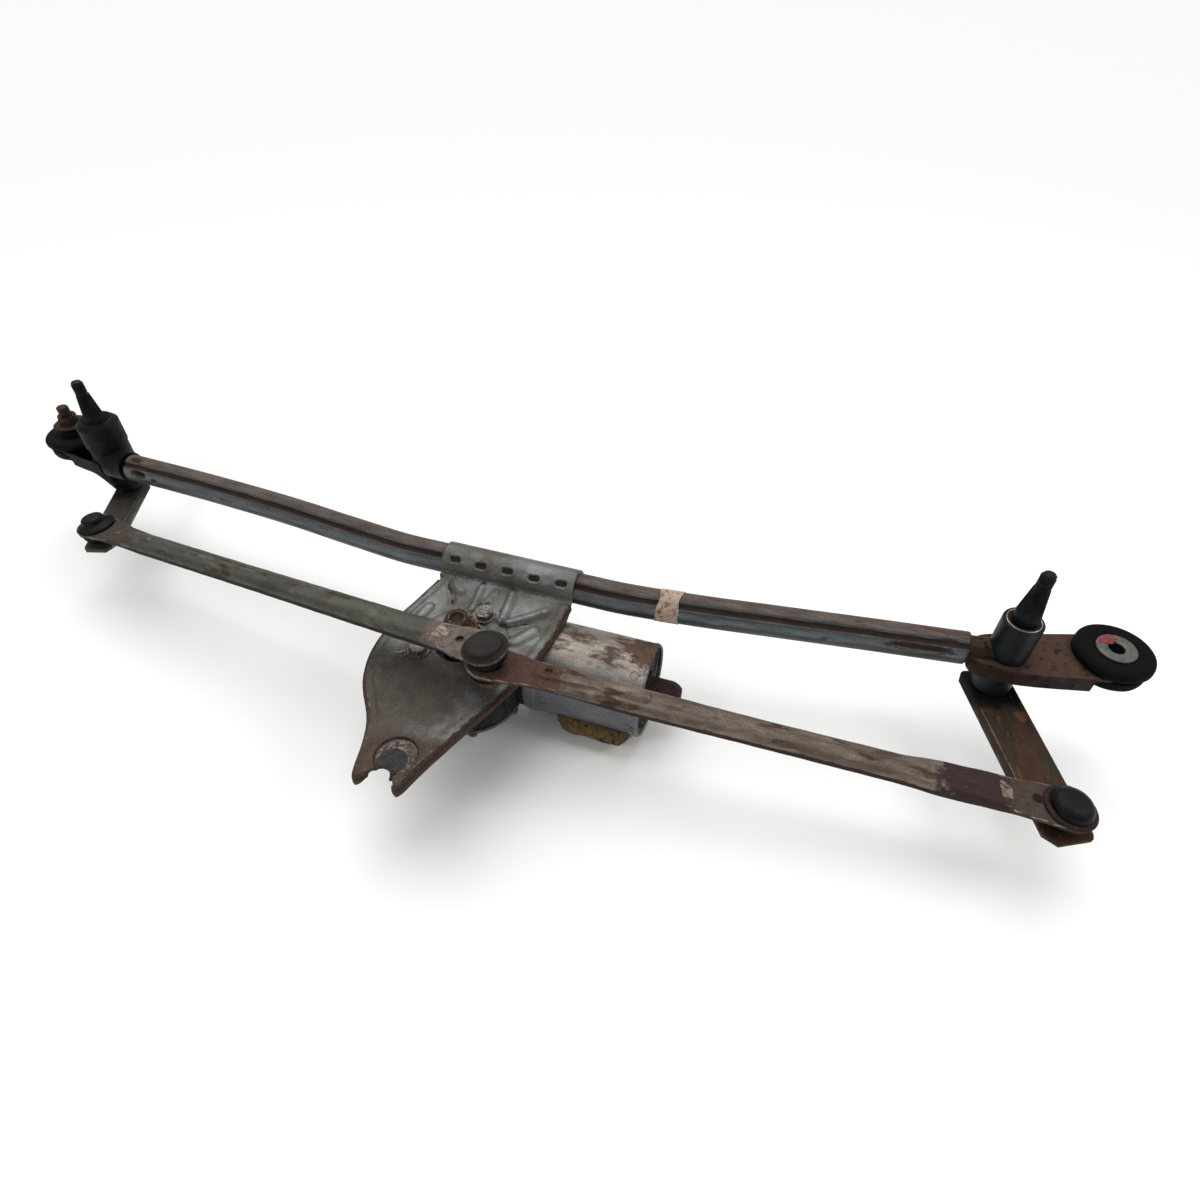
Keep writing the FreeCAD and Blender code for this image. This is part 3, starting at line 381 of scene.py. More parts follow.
def blank(outer, holes, step, fine=()):
    # flat sheet cut to an outline: its points and triangles, closer together in the fine circles
    outer = spread(outer, step)
    loops = [outer] + holes
    border = np.array([p for loop in loops for p in loop])
    low, high = border.min(0), border.max(0)

    def grid(s):
        xs = np.arange(low[0], high[0], s)
        ys = np.arange(low[1], high[1], s * 0.866)
        gx, gy = np.meshgrid(xs, ys)
        gx[1::2] += s / 2
        return np.column_stack([gx.ravel(), gy.ravel()])

    inner = grid(step)
    for cx, cy, reach, _ in fine:
        inner = inner[np.hypot(inner[:, 0] - cx, inner[:, 1] - cy) > reach]
    sets = [(inner, step)]
    taken = []
    for cx, cy, reach, closer in fine:
        dense = grid(closer)
        dense = dense[np.hypot(dense[:, 0] - cx, dense[:, 1] - cy) < reach - closer * 0.3]
        for ox, oy, other in taken:
            dense = dense[np.hypot(dense[:, 0] - ox, dense[:, 1] - oy) > other]
        taken.append((cx, cy, reach))
        sets.append((dense, closer))
    kept = []
    for points, s in sets:
        points = points[inLoop(points, outer)]
        for hole in holes:
            points = points[~inLoop(points, hole)]
        gaps = np.full(len(points), 1e9)
        for start in range(0, len(border), 64):
            part = border[start:start + 64]
            gaps = np.minimum(gaps, np.linalg.norm(points[:, None] - part[None], axis=2).min(1))
        kept.append(points[gaps > s * 0.55])
    cloud = np.vstack([border] + kept)
    edges, base = [], 0
    for loop in loops:
        edges += [(base + i, base + (i + 1) % len(loop)) for i in range(len(loop))]
        base += len(loop)
    verts, _, faces, *_ = delaunay_2d_cdt([Vector(p) for p in cloud], edges, [], 0, 1e-6)
    flat = np.array([tuple(v) for v in verts])
    tris = np.array([f for f in faces if len(f) == 3])
    middles = flat[tris].mean(1)
    keep = inLoop(middles, outer)
    for hole in holes:
        keep &= ~inLoop(middles, hole)
    tris = tris[keep]
    a, b, c = flat[tris[:, 0]], flat[tris[:, 1]], flat[tris[:, 2]]
    area = (b[:, 0] - a[:, 0]) * (c[:, 1] - a[:, 1]) - (b[:, 1] - a[:, 1]) * (c[:, 0] - a[:, 0])
    tris[area < 0] = tris[area < 0][:, ::-1]
    return flat, tris


def circleLoop(x, y, r, n=36, squeeze=1.0):
    return [(x + r * squeeze * math.cos(2 * math.pi * i / n),
             y + r * math.sin(2 * math.pi * i / n)) for i in range(n)]


def thicken(piece, sheet):
    solid = piece.modifiers.new("sheet", "SOLIDIFY")
    solid.thickness = sheet * mm
    solid.offset = -1
    solid.use_quality_normals = True


def softEdged(node, finish, width):
    # a copy of a CAD part with its hard edges broken, as deburring and handling leave them
    flatWithin, edgeFrom = 0.6, 34  # degrees
    source = frame["nodes"][node]
    form = bmesh.new()
    form.from_mesh(source.data)
    bmesh.ops.remove_doubles(form, verts=form.verts, dist=0.004 * mm)
    bmesh.ops.dissolve_limit(form, angle_limit=math.radians(flatWithin), verts=form.verts,
                             edges=form.edges)
    mesh = bpy.data.meshes.new(node + "_look")
    form.to_mesh(mesh)
    form.free()
    mesh.materials.clear()
    dress(mesh, finish, edgeFrom)
    piece = addObject(node + "_look", mesh)
    bevel = piece.modifiers.new("edges", "BEVEL")
    bevel.width = width * mm
    bevel.segments = 2
    bevel.limit_method = "ANGLE"
    bevel.angle_limit = math.radians(edgeFrom)
    bevel.use_clamp_overlap = True
    bevel.harden_normals = True
    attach(piece, source["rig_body"])
    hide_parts(node)


# finishes

# rolled steel tube, zinc plated: dull grey, browned along its top, a painted sheen on the faces
# turned to the front, painted shade with grime in the seam and the dents
tubeZinc = wornFinish("rolledZincTube", "464c4b 323737", 9, (0.42, 0.6), (0.7, 0.25),
    coat("5e524b 403631", 9, 0.6, 0.12, 0.66, facing=(0, 0.1, 1.0, 0.55, 0.86), metal=0.15,
         toneSize=4),
    # painted sheen: lighter and more metallic on the faces turned to the front
    coat("676c71 535a5c", 26, 0.35, 0.14, 0.45, facing=(0, -0.95, 0.3, 0.8, 1.0), metal=0.6),
    coat("3a271f 543829", 6, 0.26, 0.05, 0.85, detail=8, toneSize=2),
    coat("81837f", 1.6, 0.17, 0.04, 0.5, metal=0.4, strength=0.7),
    # painted shade with grime, dark brown where the seam and the dents are marked
    coat("211a17 352923", 3, 0.5, 0.2, 0.9, attribute="painted_shade_and_grime", toneSize=3), metal=0.5,
    grain=(0.22, 1, 1))

# pressed sheet with a zinc coat: grey with a soft spangle, brown where the coat has gone, painted
# shade with grime in its hollows and painted highlights on its ribs and edges
bracketZinc = wornFinish("pressedZincSheet", "62635e 50514e", 16, (0.38, 0.58), (0.9, 0.22),
    coat("5b524a 463e37", 26, 0.44, 0.22, 0.6, metal=0.25, toneSize=7, detail=7),
    coat("757672 696e6e", 24, 0.42, 0.16, 0.4, metal=0.55),
    coat("4b3e34 3c2f28", 12, 0.6, 0.16, 0.72, zone=(16, -185, -8, 66), metal=0.1, toneSize=5,
         round=True),
    coat("403934 4c443d", 14, 0.54, 0.2, 0.6, zone=(2, -122, -8, 50), metal=0.25, toneSize=6,
         round=True),
    coat("42332a 2f231d", 5, 0.5, 0.14, 0.8, attribute="edge", toneSize=2),
    # painted shade with grime in the rim, the troughs, the pits and the crease
    coat("2a2018 211a15", 2, 0.5, 0.22, 0.9, attribute="painted_shade_and_grime", toneSize=2),
    coat("3d2a1f 593c2d", 3.2, 0.2, 0.05, 0.85, detail=8, toneSize=1.5),
    # painted highlights on the ribs, the rims and the rolled edges
    coat("817f79", 2, 0.46, 0.2, 0.36, attribute="painted_highlight", metal=0.6),
    coat("898781", 1.3, 0.14, 0.03, 0.45, metal=0.4, strength=0.65), metal=0.45)


def linkFinish(name, turn, tones, rust, chips, patches, cover):
    # pressed steel arm, plating worn through along its length, with painted shade and grime in its
    # hollows and on its turned-down sides, and painted highlights on its edges and ramps
    layers = [
        coat(chips, 9, cover, 0.1, 0.5, metal=0.4, detail=7, toneSize=3),
        coat(rust, 7, 0.36, 0.06, 0.85, detail=8, toneSize=2)]
    for x, y, z, reach, pair, amount in patches:
        layers.append(coat(pair, 6, amount, 0.12, 0.78, zone=(x, y, z, reach), detail=7, toneSize=3,
                           round=True))
    layers += [
        # painted shade with grime in the hollows and on the turned-down sides
        coat("231b17 32251e", 2, 0.5, 0.2, 0.9, attribute="painted_shade_and_grime", toneSize=2),
        # painted highlights on the edges, the ridges and the ends of the raised channel
        coat("908578 796e62", 2.4, 0.46, 0.12, 0.45, attribute="painted_highlight", metal=0.35),
        coat("988e81", 1.2, 0.16, 0.03, 0.5, metal=0.3, strength=0.6),
        coat("1e1714", 2.2, 0.2, 0.04, 0.85, strength=0.8)]
    return wornFinish(name, tones, 10, (0.45, 0.62), (0.7, 0.35), *layers, metal=0.35,
                      grain=(0.3, 1, 1), turn=turn, bump=0.6)


leftLinkTurn = math.degrees(math.atan2(-53.1, 328.5))
rightLinkTurn = math.degrees(math.atan2(27.0, 296.9))
leftLinkSteel = linkFinish("wornOliveArm", leftLinkTurn, "4c4b43 3a3932", "432e25 2e221b",
                           "626056 535249",
                           [(-270, -58, -17, 40, "463b33 342b26", 0.6),
                            (22, -105, 22, 30, "6a625a 4d4038", 0.42)], 0.36)
rightLinkSteel = linkFinish("wornZincArm", rightLinkTurn, "63574d 4e433b", "462e23 33221a",
                            "847668 726254",
                            [(64, -106, 12, 32, "3e261f 4e342a", 0.72),
                             (299, -85, -12, 33, "341e1a 241818", 0.7),
                             (330, -83, -18, 30, "44362f 342b26", 0.6)], 0.42)

# forged and turned bearing steel under old oil: near black, faintly blue
oiledForging = wornFinish("oiledForging", "0e1012 080a0c", 8, (0.5, 0.7), (1.1, 0.5),
    coat("1a1c1d 141616", 7, 0.35, 0.1, 0.5, metal=0.3),
    coat("191412", 4, 0.24, 0.06, 0.85),
    coat("333536", 1.5, 0.13, 0.03, 0.5, metal=0.4, strength=0.6), metal=0.25, bump=0.7,
    specular=0.14)
phosphated = wornFinish("phosphatedSteel", "16191b 0e1114", 7, (0.42, 0.6), (0.6, 0.3),
    coat("23282a 1d2124", 9, 0.42, 0.12, 0.42, metal=0.45),
    coat("251a15 191310", 5, 0.28, 0.07, 0.85, toneSize=2),
    coat("474949", 1.1, 0.15, 0.03, 0.5, metal=0.4, strength=0.6), metal=0.4, specular=0.14)
sleeveSteel = wornFinish("turnedSleeveSteel", "1c2125 15181b", 9, (0.36, 0.55), (0.6, 0.25),
    coat("292f34 22282c", 12, 0.4, 0.14, 0.4, metal=0.5),
    coat("221713 2c1f19", 5, 0.27, 0.06, 0.85, toneSize=2),
    # painted shade: near black on the faces turned down
    coat("080a0c", 6, 0.3, 0.2, 0.7, facing=(0, 0, -1, -0.4, 0.4)),
    coat("4e5153", 1.2, 0.15, 0.03, 0.45, metal=0.5, strength=0.6), metal=0.45, specular=0.14)

# bare steel gone to rust: dark brown with orange bloom and scale
rustedArm = wornFinish("rustedArmSteel", "342520 261a17", 8, (0.55, 0.78), (0.9, 0.5),
    # painted light: lighter brown on the faces turned up
    coat("48352a 3d2b23", 9, 0.5, 0.12, 0.66, facing=(0, 0.1, 1, 0.5, 0.9), metal=0.2, toneSize=3),
    coat("1a1310 130d0c", 6, 0.32, 0.07, 0.88, toneSize=2),
    coat("533120", 3, 0.18, 0.04, 0.9),
    coat("5f5751", 1.2, 0.14, 0.03, 0.6, strength=0.6), metal=0.2, bump=0.7, specular=0.14)
leftArmSteel = wornFinish("grimyArmSteel", "191412 110e0d", 9, (0.6, 0.8), (0.9, 0.5),
    coat("26201a 201a16", 10, 0.45, 0.12, 0.75),
    coat("3a2e24", 3, 0.16, 0.04, 0.85), metal=0.2, bump=0.7, specular=0.14)
rustedLever = wornFinish("rustedLeverSteel", "302d28 252421", 12, (0.5, 0.7), (0.8, 0.4),
    coat("432f23 34241b", 9, 0.56, 0.07, 0.82, detail=8, toneSize=2.5),
    coat("5b402f", 5, 0.3, 0.05, 0.85, detail=8),
    # painted highlights along the lever's edges
    coat("696660 56534f", 3, 0.5, 0.12, 0.45, attribute="painted_highlight", metal=0.45),
    # painted shade: near black on the lever's inner part, beneath the parts over it
    coat("13100e", 6, 0.6, 0.16, 0.8, zone=(310, 0, -26, 30), round=True),
    coat("7a7166", 1.6, 0.17, 0.03, 0.5, strength=0.7), metal=0.3, grain=(0.4, 1, 1), turn=-69,
    specular=0.14)
leftLeverSteel = wornFinish("grimyLeverSteel", "3f3e35 33322b", 12, (0.5, 0.7), (0.8, 0.4),
    coat("4a3e35 3c332c", 10, 0.5, 0.12, 0.75, toneSize=3),
    # painted highlights along the lever's edges
    coat("969489 76756d", 3, 0.5, 0.14, 0.45, attribute="painted_highlight", metal=0.4),
    # painted shade: near black on the lever's inner part, beneath the parts over it
    coat("191919", 6, 0.6, 0.16, 0.8, zone=(-310, 0, -28, 27), round=True),
    coat("716c61", 1.5, 0.18, 0.03, 0.6, strength=0.7), metal=0.3, grain=(0.4, 1, 1), turn=-64)
bronzeRust = wornFinish("rustedHexSteel", "352314 24170e", 4, (0.42, 0.65), (0.5, 0.5),
    coat("1b110c", 3, 0.35, 0.08, 0.85),
    coat("584730 473725", 2, 0.24, 0.05, 0.4, metal=0.6), metal=0.45, bump=0.8)
rustPlate = wornFinish("rustedEndPlate", "2b1a16 1f1210", 7, (0.7, 0.88), (0.8, 0.7),
    coat("41271d 362019", 5, 0.36, 0.06, 0.9, toneSize=2),
    coat("110b09", 4, 0.3, 0.07, 0.9),
    coat("615348", 1.2, 0.13, 0.03, 0.8, strength=0.6), metal=0.1, bump=0.9)

# deep-drawn zinc plated can: bluish grey with a painted highlight along its upper side, rust
# bleeding over that side
canZinc = wornFinish("drawnZincCan", "6c6f70 595c5e", 16, (0.36, 0.56), (0.8, 0.2),
    # painted highlight: lighter on the faces turned up
    coat("9a9289 857d75", 14, 0.6, 0.18, 0.5, facing=(0, 0.15, 1, 0.45, 0.95), metal=0.35,
         toneSize=6),
    coat("5c463c 46352d", 9, 0.24, 0.07, 0.82, facing=(0.1, 0.1, 1, 0.3, 1.1), detail=9,
         toneSize=2.5),
    coat("4a362c 5d473c", 5, 0.5, 0.1, 0.85, zone=(118, -50, -16, 24), toneSize=2, round=True),
    coat("3c2c25", 2.2, 0.2, 0.04, 0.85, detail=7),
    coat("b3aca3", 1.4, 0.18, 0.04, 0.5, metal=0.3, strength=0.7), metal=0.5, grain=(0.5, 1, 1))
castAlloy = wornFinish("dirtyDieCasting", "202427 171a1d", 9, (0.55, 0.75), (1.0, 0.5),
    coat("2f3235 272a2d", 8, 0.4, 0.12, 0.55, metal=0.35),
    coat("352c25", 5, 0.27, 0.07, 0.85), metal=0.3, bump=0.7, specular=0.14)

# moulded caps: black acetal gone grey with dust, and one brown from rust water
blackCap = wornFinish("mouldedBlackCap", "060708 060708", 6, (0.42, 0.58), (0.9, 0.25),
    coat("0d0e0f 090b0c", 5, 0.38, 0.14, 0.6),
    coat("161412", 1.4, 0.15, 0.04, 0.7, strength=0.6), bump=0.4, specular=0.14)
brownCap = wornFinish("stainedBrownCap", "221d1a 1a1614", 7, (0.45, 0.62), (0.9, 0.3),
    coat("2b2420 251f1c", 6, 0.4, 0.14, 0.6),
    # painted shade with grime where a piece marks its hollows
    coat("130f0e", 3, 0.5, 0.2, 0.8, attribute="painted_shade_and_grime"),
    coat("4d4640", 1.3, 0.13, 0.03, 0.7, strength=0.55), bump=0.4, specular=0.14)
flangeCap = wornFinish("rustStainedFlange", "2d1f19 221815", 6, (0.5, 0.7), (0.8, 0.4),
    coat("392920", 4, 0.36, 0.1, 0.75),
    # painted highlight where a piece marks one
    coat("544940", 2, 0.48, 0.1, 0.5, attribute="painted_highlight"), metal=0.15, specular=0.14)

# natural rubber, perished: matt, greyed, with fine crazing
rubber = wornFinish("perishedRubber", "080605 080706", 7, (0.72, 0.9), (0.7, 0.6),
    coat("0c0908 090706", 6, 0.5, 0.14, 0.88, facing=(0, 0, 1, 0.4, 0.9), toneSize=2),
    coat("080707", 2, 0.25, 0.05, 0.9),
    coat("13100d", 1.0, 0.16, 0.03, 0.9, strength=0.7), bump=0.8, specular=0.1)
darkRubber = wornFinish("oiledRubber", "070708 070708", 6, (0.6, 0.8), (0.8, 0.5),
    coat("0f0f0f 0b0c0b", 6, 0.5, 0.16, 0.8, facing=(0, 0, 1, 0.4, 0.9)),
    coat("161614", 1.1, 0.16, 0.03, 0.9, strength=0.7), bump=0.7, specular=0.1)
greyRubber = wornFinish("wornGreyRubber", "40403d 333231", 6, (0.75, 0.9), (0.7, 0.7),
    coat("262524", 1.6, 0.34, 0.06, 0.9),
    coat("575550", 2.4, 0.25, 0.06, 0.85), bump=0.9, specular=0.1)

# smaller metals and the parts inside
washerZinc = wornFinish("zincWasher", "61615e 52514b", 6, (0.4, 0.58), (0.6, 0.3),
    coat("3c3731", 3, 0.27, 0.06, 0.8),
    coat("7e7d7a", 1.3, 0.18, 0.03, 0.45, metal=0.5), metal=0.5)
boltZinc = wornFinish("zincBoltSteel", "78756f 615e57", 4, (0.38, 0.56), (0.5, 0.3),
    coat("513c2f 3f2f26", 3, 0.42, 0.07, 0.82, toneSize=1.5),
    coat("9f9c96", 1.2, 0.2, 0.04, 0.4, metal=0.5), metal=0.5)
brightSteel = wornFinish("turnedBrightSteel", "9a958d 827c74", 5, (0.28, 0.42), (0.5, 0.15),
    coat("5e4a3d", 3, 0.24, 0.06, 0.8), metal=0.85)
crankZinc = wornFinish("rustedCrankSteel", "4e4239 3a2f29", 6, (0.5, 0.7), (0.7, 0.5),
    coat("593a2c 422a20", 5, 0.5, 0.07, 0.88, toneSize=2),
    coat("7c7166", 2.2, 0.28, 0.05, 0.5, metal=0.35),
    coat("1d1612", 3, 0.26, 0.06, 0.9), metal=0.3, bump=0.7, specular=0.14)
bronze = wornFinish("sinteredBronze", "8d6a3f 71542f", 3, (0.45, 0.6), (0.4, 0.4),
    coat("3c2f20", 1.5, 0.3, 0.06, 0.8), metal=0.8)
nylon = wornFinish("naturalNylon", "d2c7a6 bfb28f", 7, (0.4, 0.55), (0.6, 0.15),
    coat("6d5f45", 4, 0.25, 0.1, 0.5), bump=0.3)
copper = wornFinish("enamelledCopper", "9b4f2c 7d3c22", 3, (0.3, 0.45), (0.6, 0.5),
    coat("4a2817", 1.5, 0.34, 0.06, 0.5), metal=0.8)
coreSteel = wornFinish("stackedCoreSteel", "4c4a48 3b3938", 5, (0.45, 0.6), (0.5, 0.6),
    coat("5c4032", 3, 0.3, 0.08, 0.85), metal=0.6, grain=(6, 1, 1))
ferrite = wornFinish("sinteredFerrite", "2a2a2c 202022", 4, (0.6, 0.75), (0.5, 0.4),
    coat("3b3733", 2, 0.25, 0.05, 0.8))
carbon = wornFinish("brushCarbon", "1c1b1b 131313", 2, (0.5, 0.65), (0.3, 0.4),
    coat("3a3635", 1, 0.25, 0.05, 0.6))
plugPlastic = wornFinish("mouldedPlugPlastic", "1d1f20 151617", 5, (0.45, 0.6), (0.7, 0.3),
    coat("37342f", 3, 0.3, 0.1, 0.75))
foamFinish = wornFinish("crumblingFoam", "65543a 524028", 5, (0.9, 1.0), (1.1, 1.2),
    coat("352717 271c0f", 3, 0.36, 0.07, 1.0, toneSize=1.5),
    coat("7c6c50", 1.6, 0.25, 0.05, 1.0), bump=1.0, specular=0.15)
tapeFinish = wornFinish("maskingTape", "b09b89 9c8777", 5, (0.6, 0.75), (0.6, 0.6),
    coat("7d6454 695042", 4, 0.4, 0.06, 0.75, toneSize=1.5),
    coat("c7b8a8", 1.7, 0.28, 0.04, 0.6), bump=0.9)
redPaint = wornFinish("redMarkPaint", "88272a 6c191b", 2, (0.4, 0.6), (0.5, 0.4),
    coat("461515", 1.2, 0.25, 0.06, 0.7))
creamPaint = wornFinish("creamMarkPaint", "b09f87 998770", 2, (0.5, 0.7), (0.4, 0.5),
    coat("6e5f4f", 1.0, 0.25, 0.05, 0.8))
rustCrumb = wornFinish("rustCrumbs", "5a3e30 3e2b22", 1.5, (0.8, 0.95), (0.4, 0.6),
    coat("80624d", 1, 0.3, 0.05, 0.9))
print("finishes made:", len(bpy.data.materials))


# cross tube: one sweep with its open seam and staked ends

tubeShape = dict(radius=9.5, seamAngle=130, seamWidth=4.4, seamDepth=1.7, wall=1.5, left=-285.0,
                 right=289.0, step=2.5,
                 bow=[(-285, -8.0), (-215, -11.0), (-138, -16.6), (-90, -22.0), (-42, -26.0),
                      (84, -26.0), (130, -22.6), (186, -15.6), (240, -8.6), (289, -2.6)],
                 # staked dents: where along the tube, at what angle, how long, how wide, how deep
                 dents=[(-271, 160, 13, 5.5, 2.4), (-277, 98, 12, 6.0, 1.3),
                        (-257, 176, 5, 4.0, 0.9), (264, 158, 40, 5.0, 1.6),
                        (278, 118, 12, 3.0, 1.0), (150, 168, 7, 3.0, 0.5), (-190, 150, 6, 2.4, 0.4),
                        (-120, 165, 9, 3.0, 0.5), (215, 172, 10, 3.0, 0.4)])


def curveThrough(knots, xs):
    # smooth line through the knots, flat between the two middle ones
    kx = np.array([k[0] for k in knots], float)
    ky = np.array([k[1] for k in knots], float)
    slope = np.gradient(ky, kx)
    straight = [i for i in range(len(kx) - 1) if ky[i] == ky[i + 1]]
    for i in straight:
        slope[i] = slope[i + 1] = 0
    i = np.clip(np.searchsorted(kx, xs) - 1, 0, len(kx) - 2)
    h = kx[i + 1] - kx[i]
    t = (xs - kx[i]) / h
    return ((2 * t ** 3 - 3 * t ** 2 + 1) * ky[i] + (t ** 3 - 2 * t ** 2 + t) * h * slope[i]
            + (-2 * t ** 3 + 3 * t ** 2) * ky[i + 1] + (t ** 3 - t ** 2) * h * slope[i + 1])


def bowAt(x):
    return float(curveThrough(tubeShape["bow"], np.array([float(x)]))[0])


def buildTube():
    s = tubeShape
    xs = np.arange(s["left"], s["right"] + 0.01, s["step"])
    xs = np.unique(np.concatenate([xs, [s["right"]], np.arange(s["left"], s["left"] + 36, 0.7),
                                   np.arange(s["right"] - 50, s["right"], 0.9)]))
    ys = curveThrough(s["bow"], xs)
    half = math.degrees(s["seamWidth"] / 2 / s["radius"])
    angles = list(np.arange(s["seamAngle"] + half + 4, s["seamAngle"] + 360 - half - 3, 4.5))
    angles += [s["seamAngle"] + k * half for k in (-1.25, -1.0, -0.86, -0.5, -0.12, 0.12, 0.5, 0.86,
                                                   1.0, 1.25)]
    angles = np.array(sorted(a % 360 for a in angles))
    verts, painted_shade_and_grime = [], []
    for x, y in zip(xs, ys):
        off = np.abs((angles - s["seamAngle"] + 180) % 360 - 180) / half
        depth = s["seamDepth"] * unit(1.12 - off ** 2.2)
        # how dark the painted shade with grime lies in the seam, and below in each dent
        dark = unit(1.25 - off) * 1.4
        for dx, da, long, wide, deep in s["dents"]:
            u = (x - dx) / (long / 2)
            v = np.radians((angles - da + 180) % 360 - 180) * s["radius"] / (wide / 2)
            inside = smooth(unit(1.25 - (u * u + v * v)))
            depth = np.maximum(depth, deep * inside)
            dark = np.maximum(dark, inside * 0.75 * min(1, deep))
        nearEnd = max(0.0, 1 - min(x - s["left"], s["right"] - x) / 1.2)
        r = s["radius"] - depth - 0.5 * nearEnd ** 2
        for a, rr, d in zip(np.radians(angles), r, dark):
            verts.append(place(x, y + rr * math.cos(a), rr * math.sin(a)))
            painted_shade_and_grime.append(min(1, d))
    piece = makePiece("tube_look", verts, gridFaces(len(xs), len(angles), True), tubeZinc, "frame",
                      ["cross_tube"], sharp=42, attributes=dict(painted_shade_and_grime=painted_shade_and_grime))
    thicken(piece, s["wall"])


buildTube()
print("cross tube swept")


# motor bracket: a flat blank with its pressings, bent round the tube

bracketShape = dict(
    top=-8.0, sheet=2.0, left=-21.0, right=65.5, tubeY=-26.0, wrapRadius=11.2, creaseRadius=1.5,
    rampStart=-62.0, rampHeight=6.5, wrapEnd=-38,
    outline=[(-21.8, -40.6), (-28.6, -54), (-33.2, -70), (-35.6, -90.3), (-33.8, -108),
             (-26.7, -126.5), (-10.6, -146.5), (-4.8, -162), (-1.4, -177.0), (1.6, -182.4),
             (6.4, -180.8), (9.6, -174.0)],
    outlineRight=[(21.4, -174.6), (22.4, -180.6), (26.8, -182.4), (31.0, -166.8), (40.5, -140.3),
                  (48.5, -119.0), (54.2, -102.5), (59.2, -85.6), (62.2, -66), (64.2, -51.3),
                  (66.0, -40.6)],
    fork=(15.8, -166.6, 7.9), seat=(16.6, -163.6, 11.2), shaftHole=15.0, padRadius=27.0,
    boltCircle=24.2,
    boltAngles=(81.0, -33.0, -147.0), edgeRoll=3.2, rim=5.6,
    skirtSheet=1.6, skirtHeights=(-2.6, -3.6, -4.9, -6.2), boltHole=3.3, grid=1.25,
    fineGrid=(0.42, 0.6),
    # ribs and troughs: from, to, half width, height or depth
    ribs=[((8.5, -42), (8.3, -57), 1.2, 1.5), ((28.8, -42), (29.2, -60.5), 1.5, 1.9),
          ((32.4, -60.4), (53.2, -46.2), 1.3, 1.5), ((43.0, -72.5), (50.4, -61.6), 2.6, 1.8),
          ((-19.8, -76.5), (-17.4, -62.4), 2.0, 1.6), ((-9.5, -43.5), (-3.5, -46), 1.8, 0.9)],
    troughs=[((-13.0, -43.5), (-6.2, -54.0), 1.4, 0.9), ((-6.2, -54.0), (-6.0, -60), 1.0, 0.6),
             ((18.0, -43.0), (11.4, -59.0), 1.4, 0.9), ((30.4, -64.6), (55.2, -51.8), 1.0, 0.7),
             ((17.0, -63.2), (22.6, -69.0), 0.9, 1.0)],
    # rows of staking pits: first one, spacing, how many, the two angles they take in turn
    pits=(-12.3, 17.45, 5, (134, 137)), shaft=(14.0, -83.0), dishDepth=1.3, rimDrop=1.15,
    padRise=0.95)


def rampRise(y):
    # the plate climbs to meet the tube's front
    b = bracketShape
    far = b["tubeY"] - b["wrapRadius"] - b["creaseRadius"]
    t = min(1, max(0, (y - b["rampStart"]) / (far - b["rampStart"])))
    return b["rampHeight"] * t ** 1.6


def wrapLine(s):
    # a point this far along the blank: where it ends up and which way is out, both in y and z
    b = bracketShape
    wallY = b["tubeY"] - b["wrapRadius"]
    creaseY = wallY - b["creaseRadius"]
    creaseLength = b["creaseRadius"] * math.pi / 2
    creaseZ = b["top"] + b["rampHeight"]
    wallLength = -(creaseZ + b["creaseRadius"])
    if s <= creaseY:
        slope = (rampRise(s + 0.1) - rampRise(s - 0.1)) / 0.2
        size = math.hypot(slope, 1)
        return s, b["top"] + rampRise(s), -slope / size, 1 / size
    s -= creaseY
    if s <= creaseLength:
        a = s / b["creaseRadius"]
        return (creaseY + b["creaseRadius"] * math.sin(a),
                creaseZ + b["creaseRadius"] * (1 - math.cos(a)), -math.sin(a), math.cos(a))
    s -= creaseLength
    if s <= wallLength:
        return wallY, creaseZ + b["creaseRadius"] + s, -1.0, 0.0
    a = math.pi - (s - wallLength) / b["wrapRadius"]
    return (b["tubeY"] + b["wrapRadius"] * math.cos(a), b["wrapRadius"] * math.sin(a), math.cos(a),
            math.sin(a))


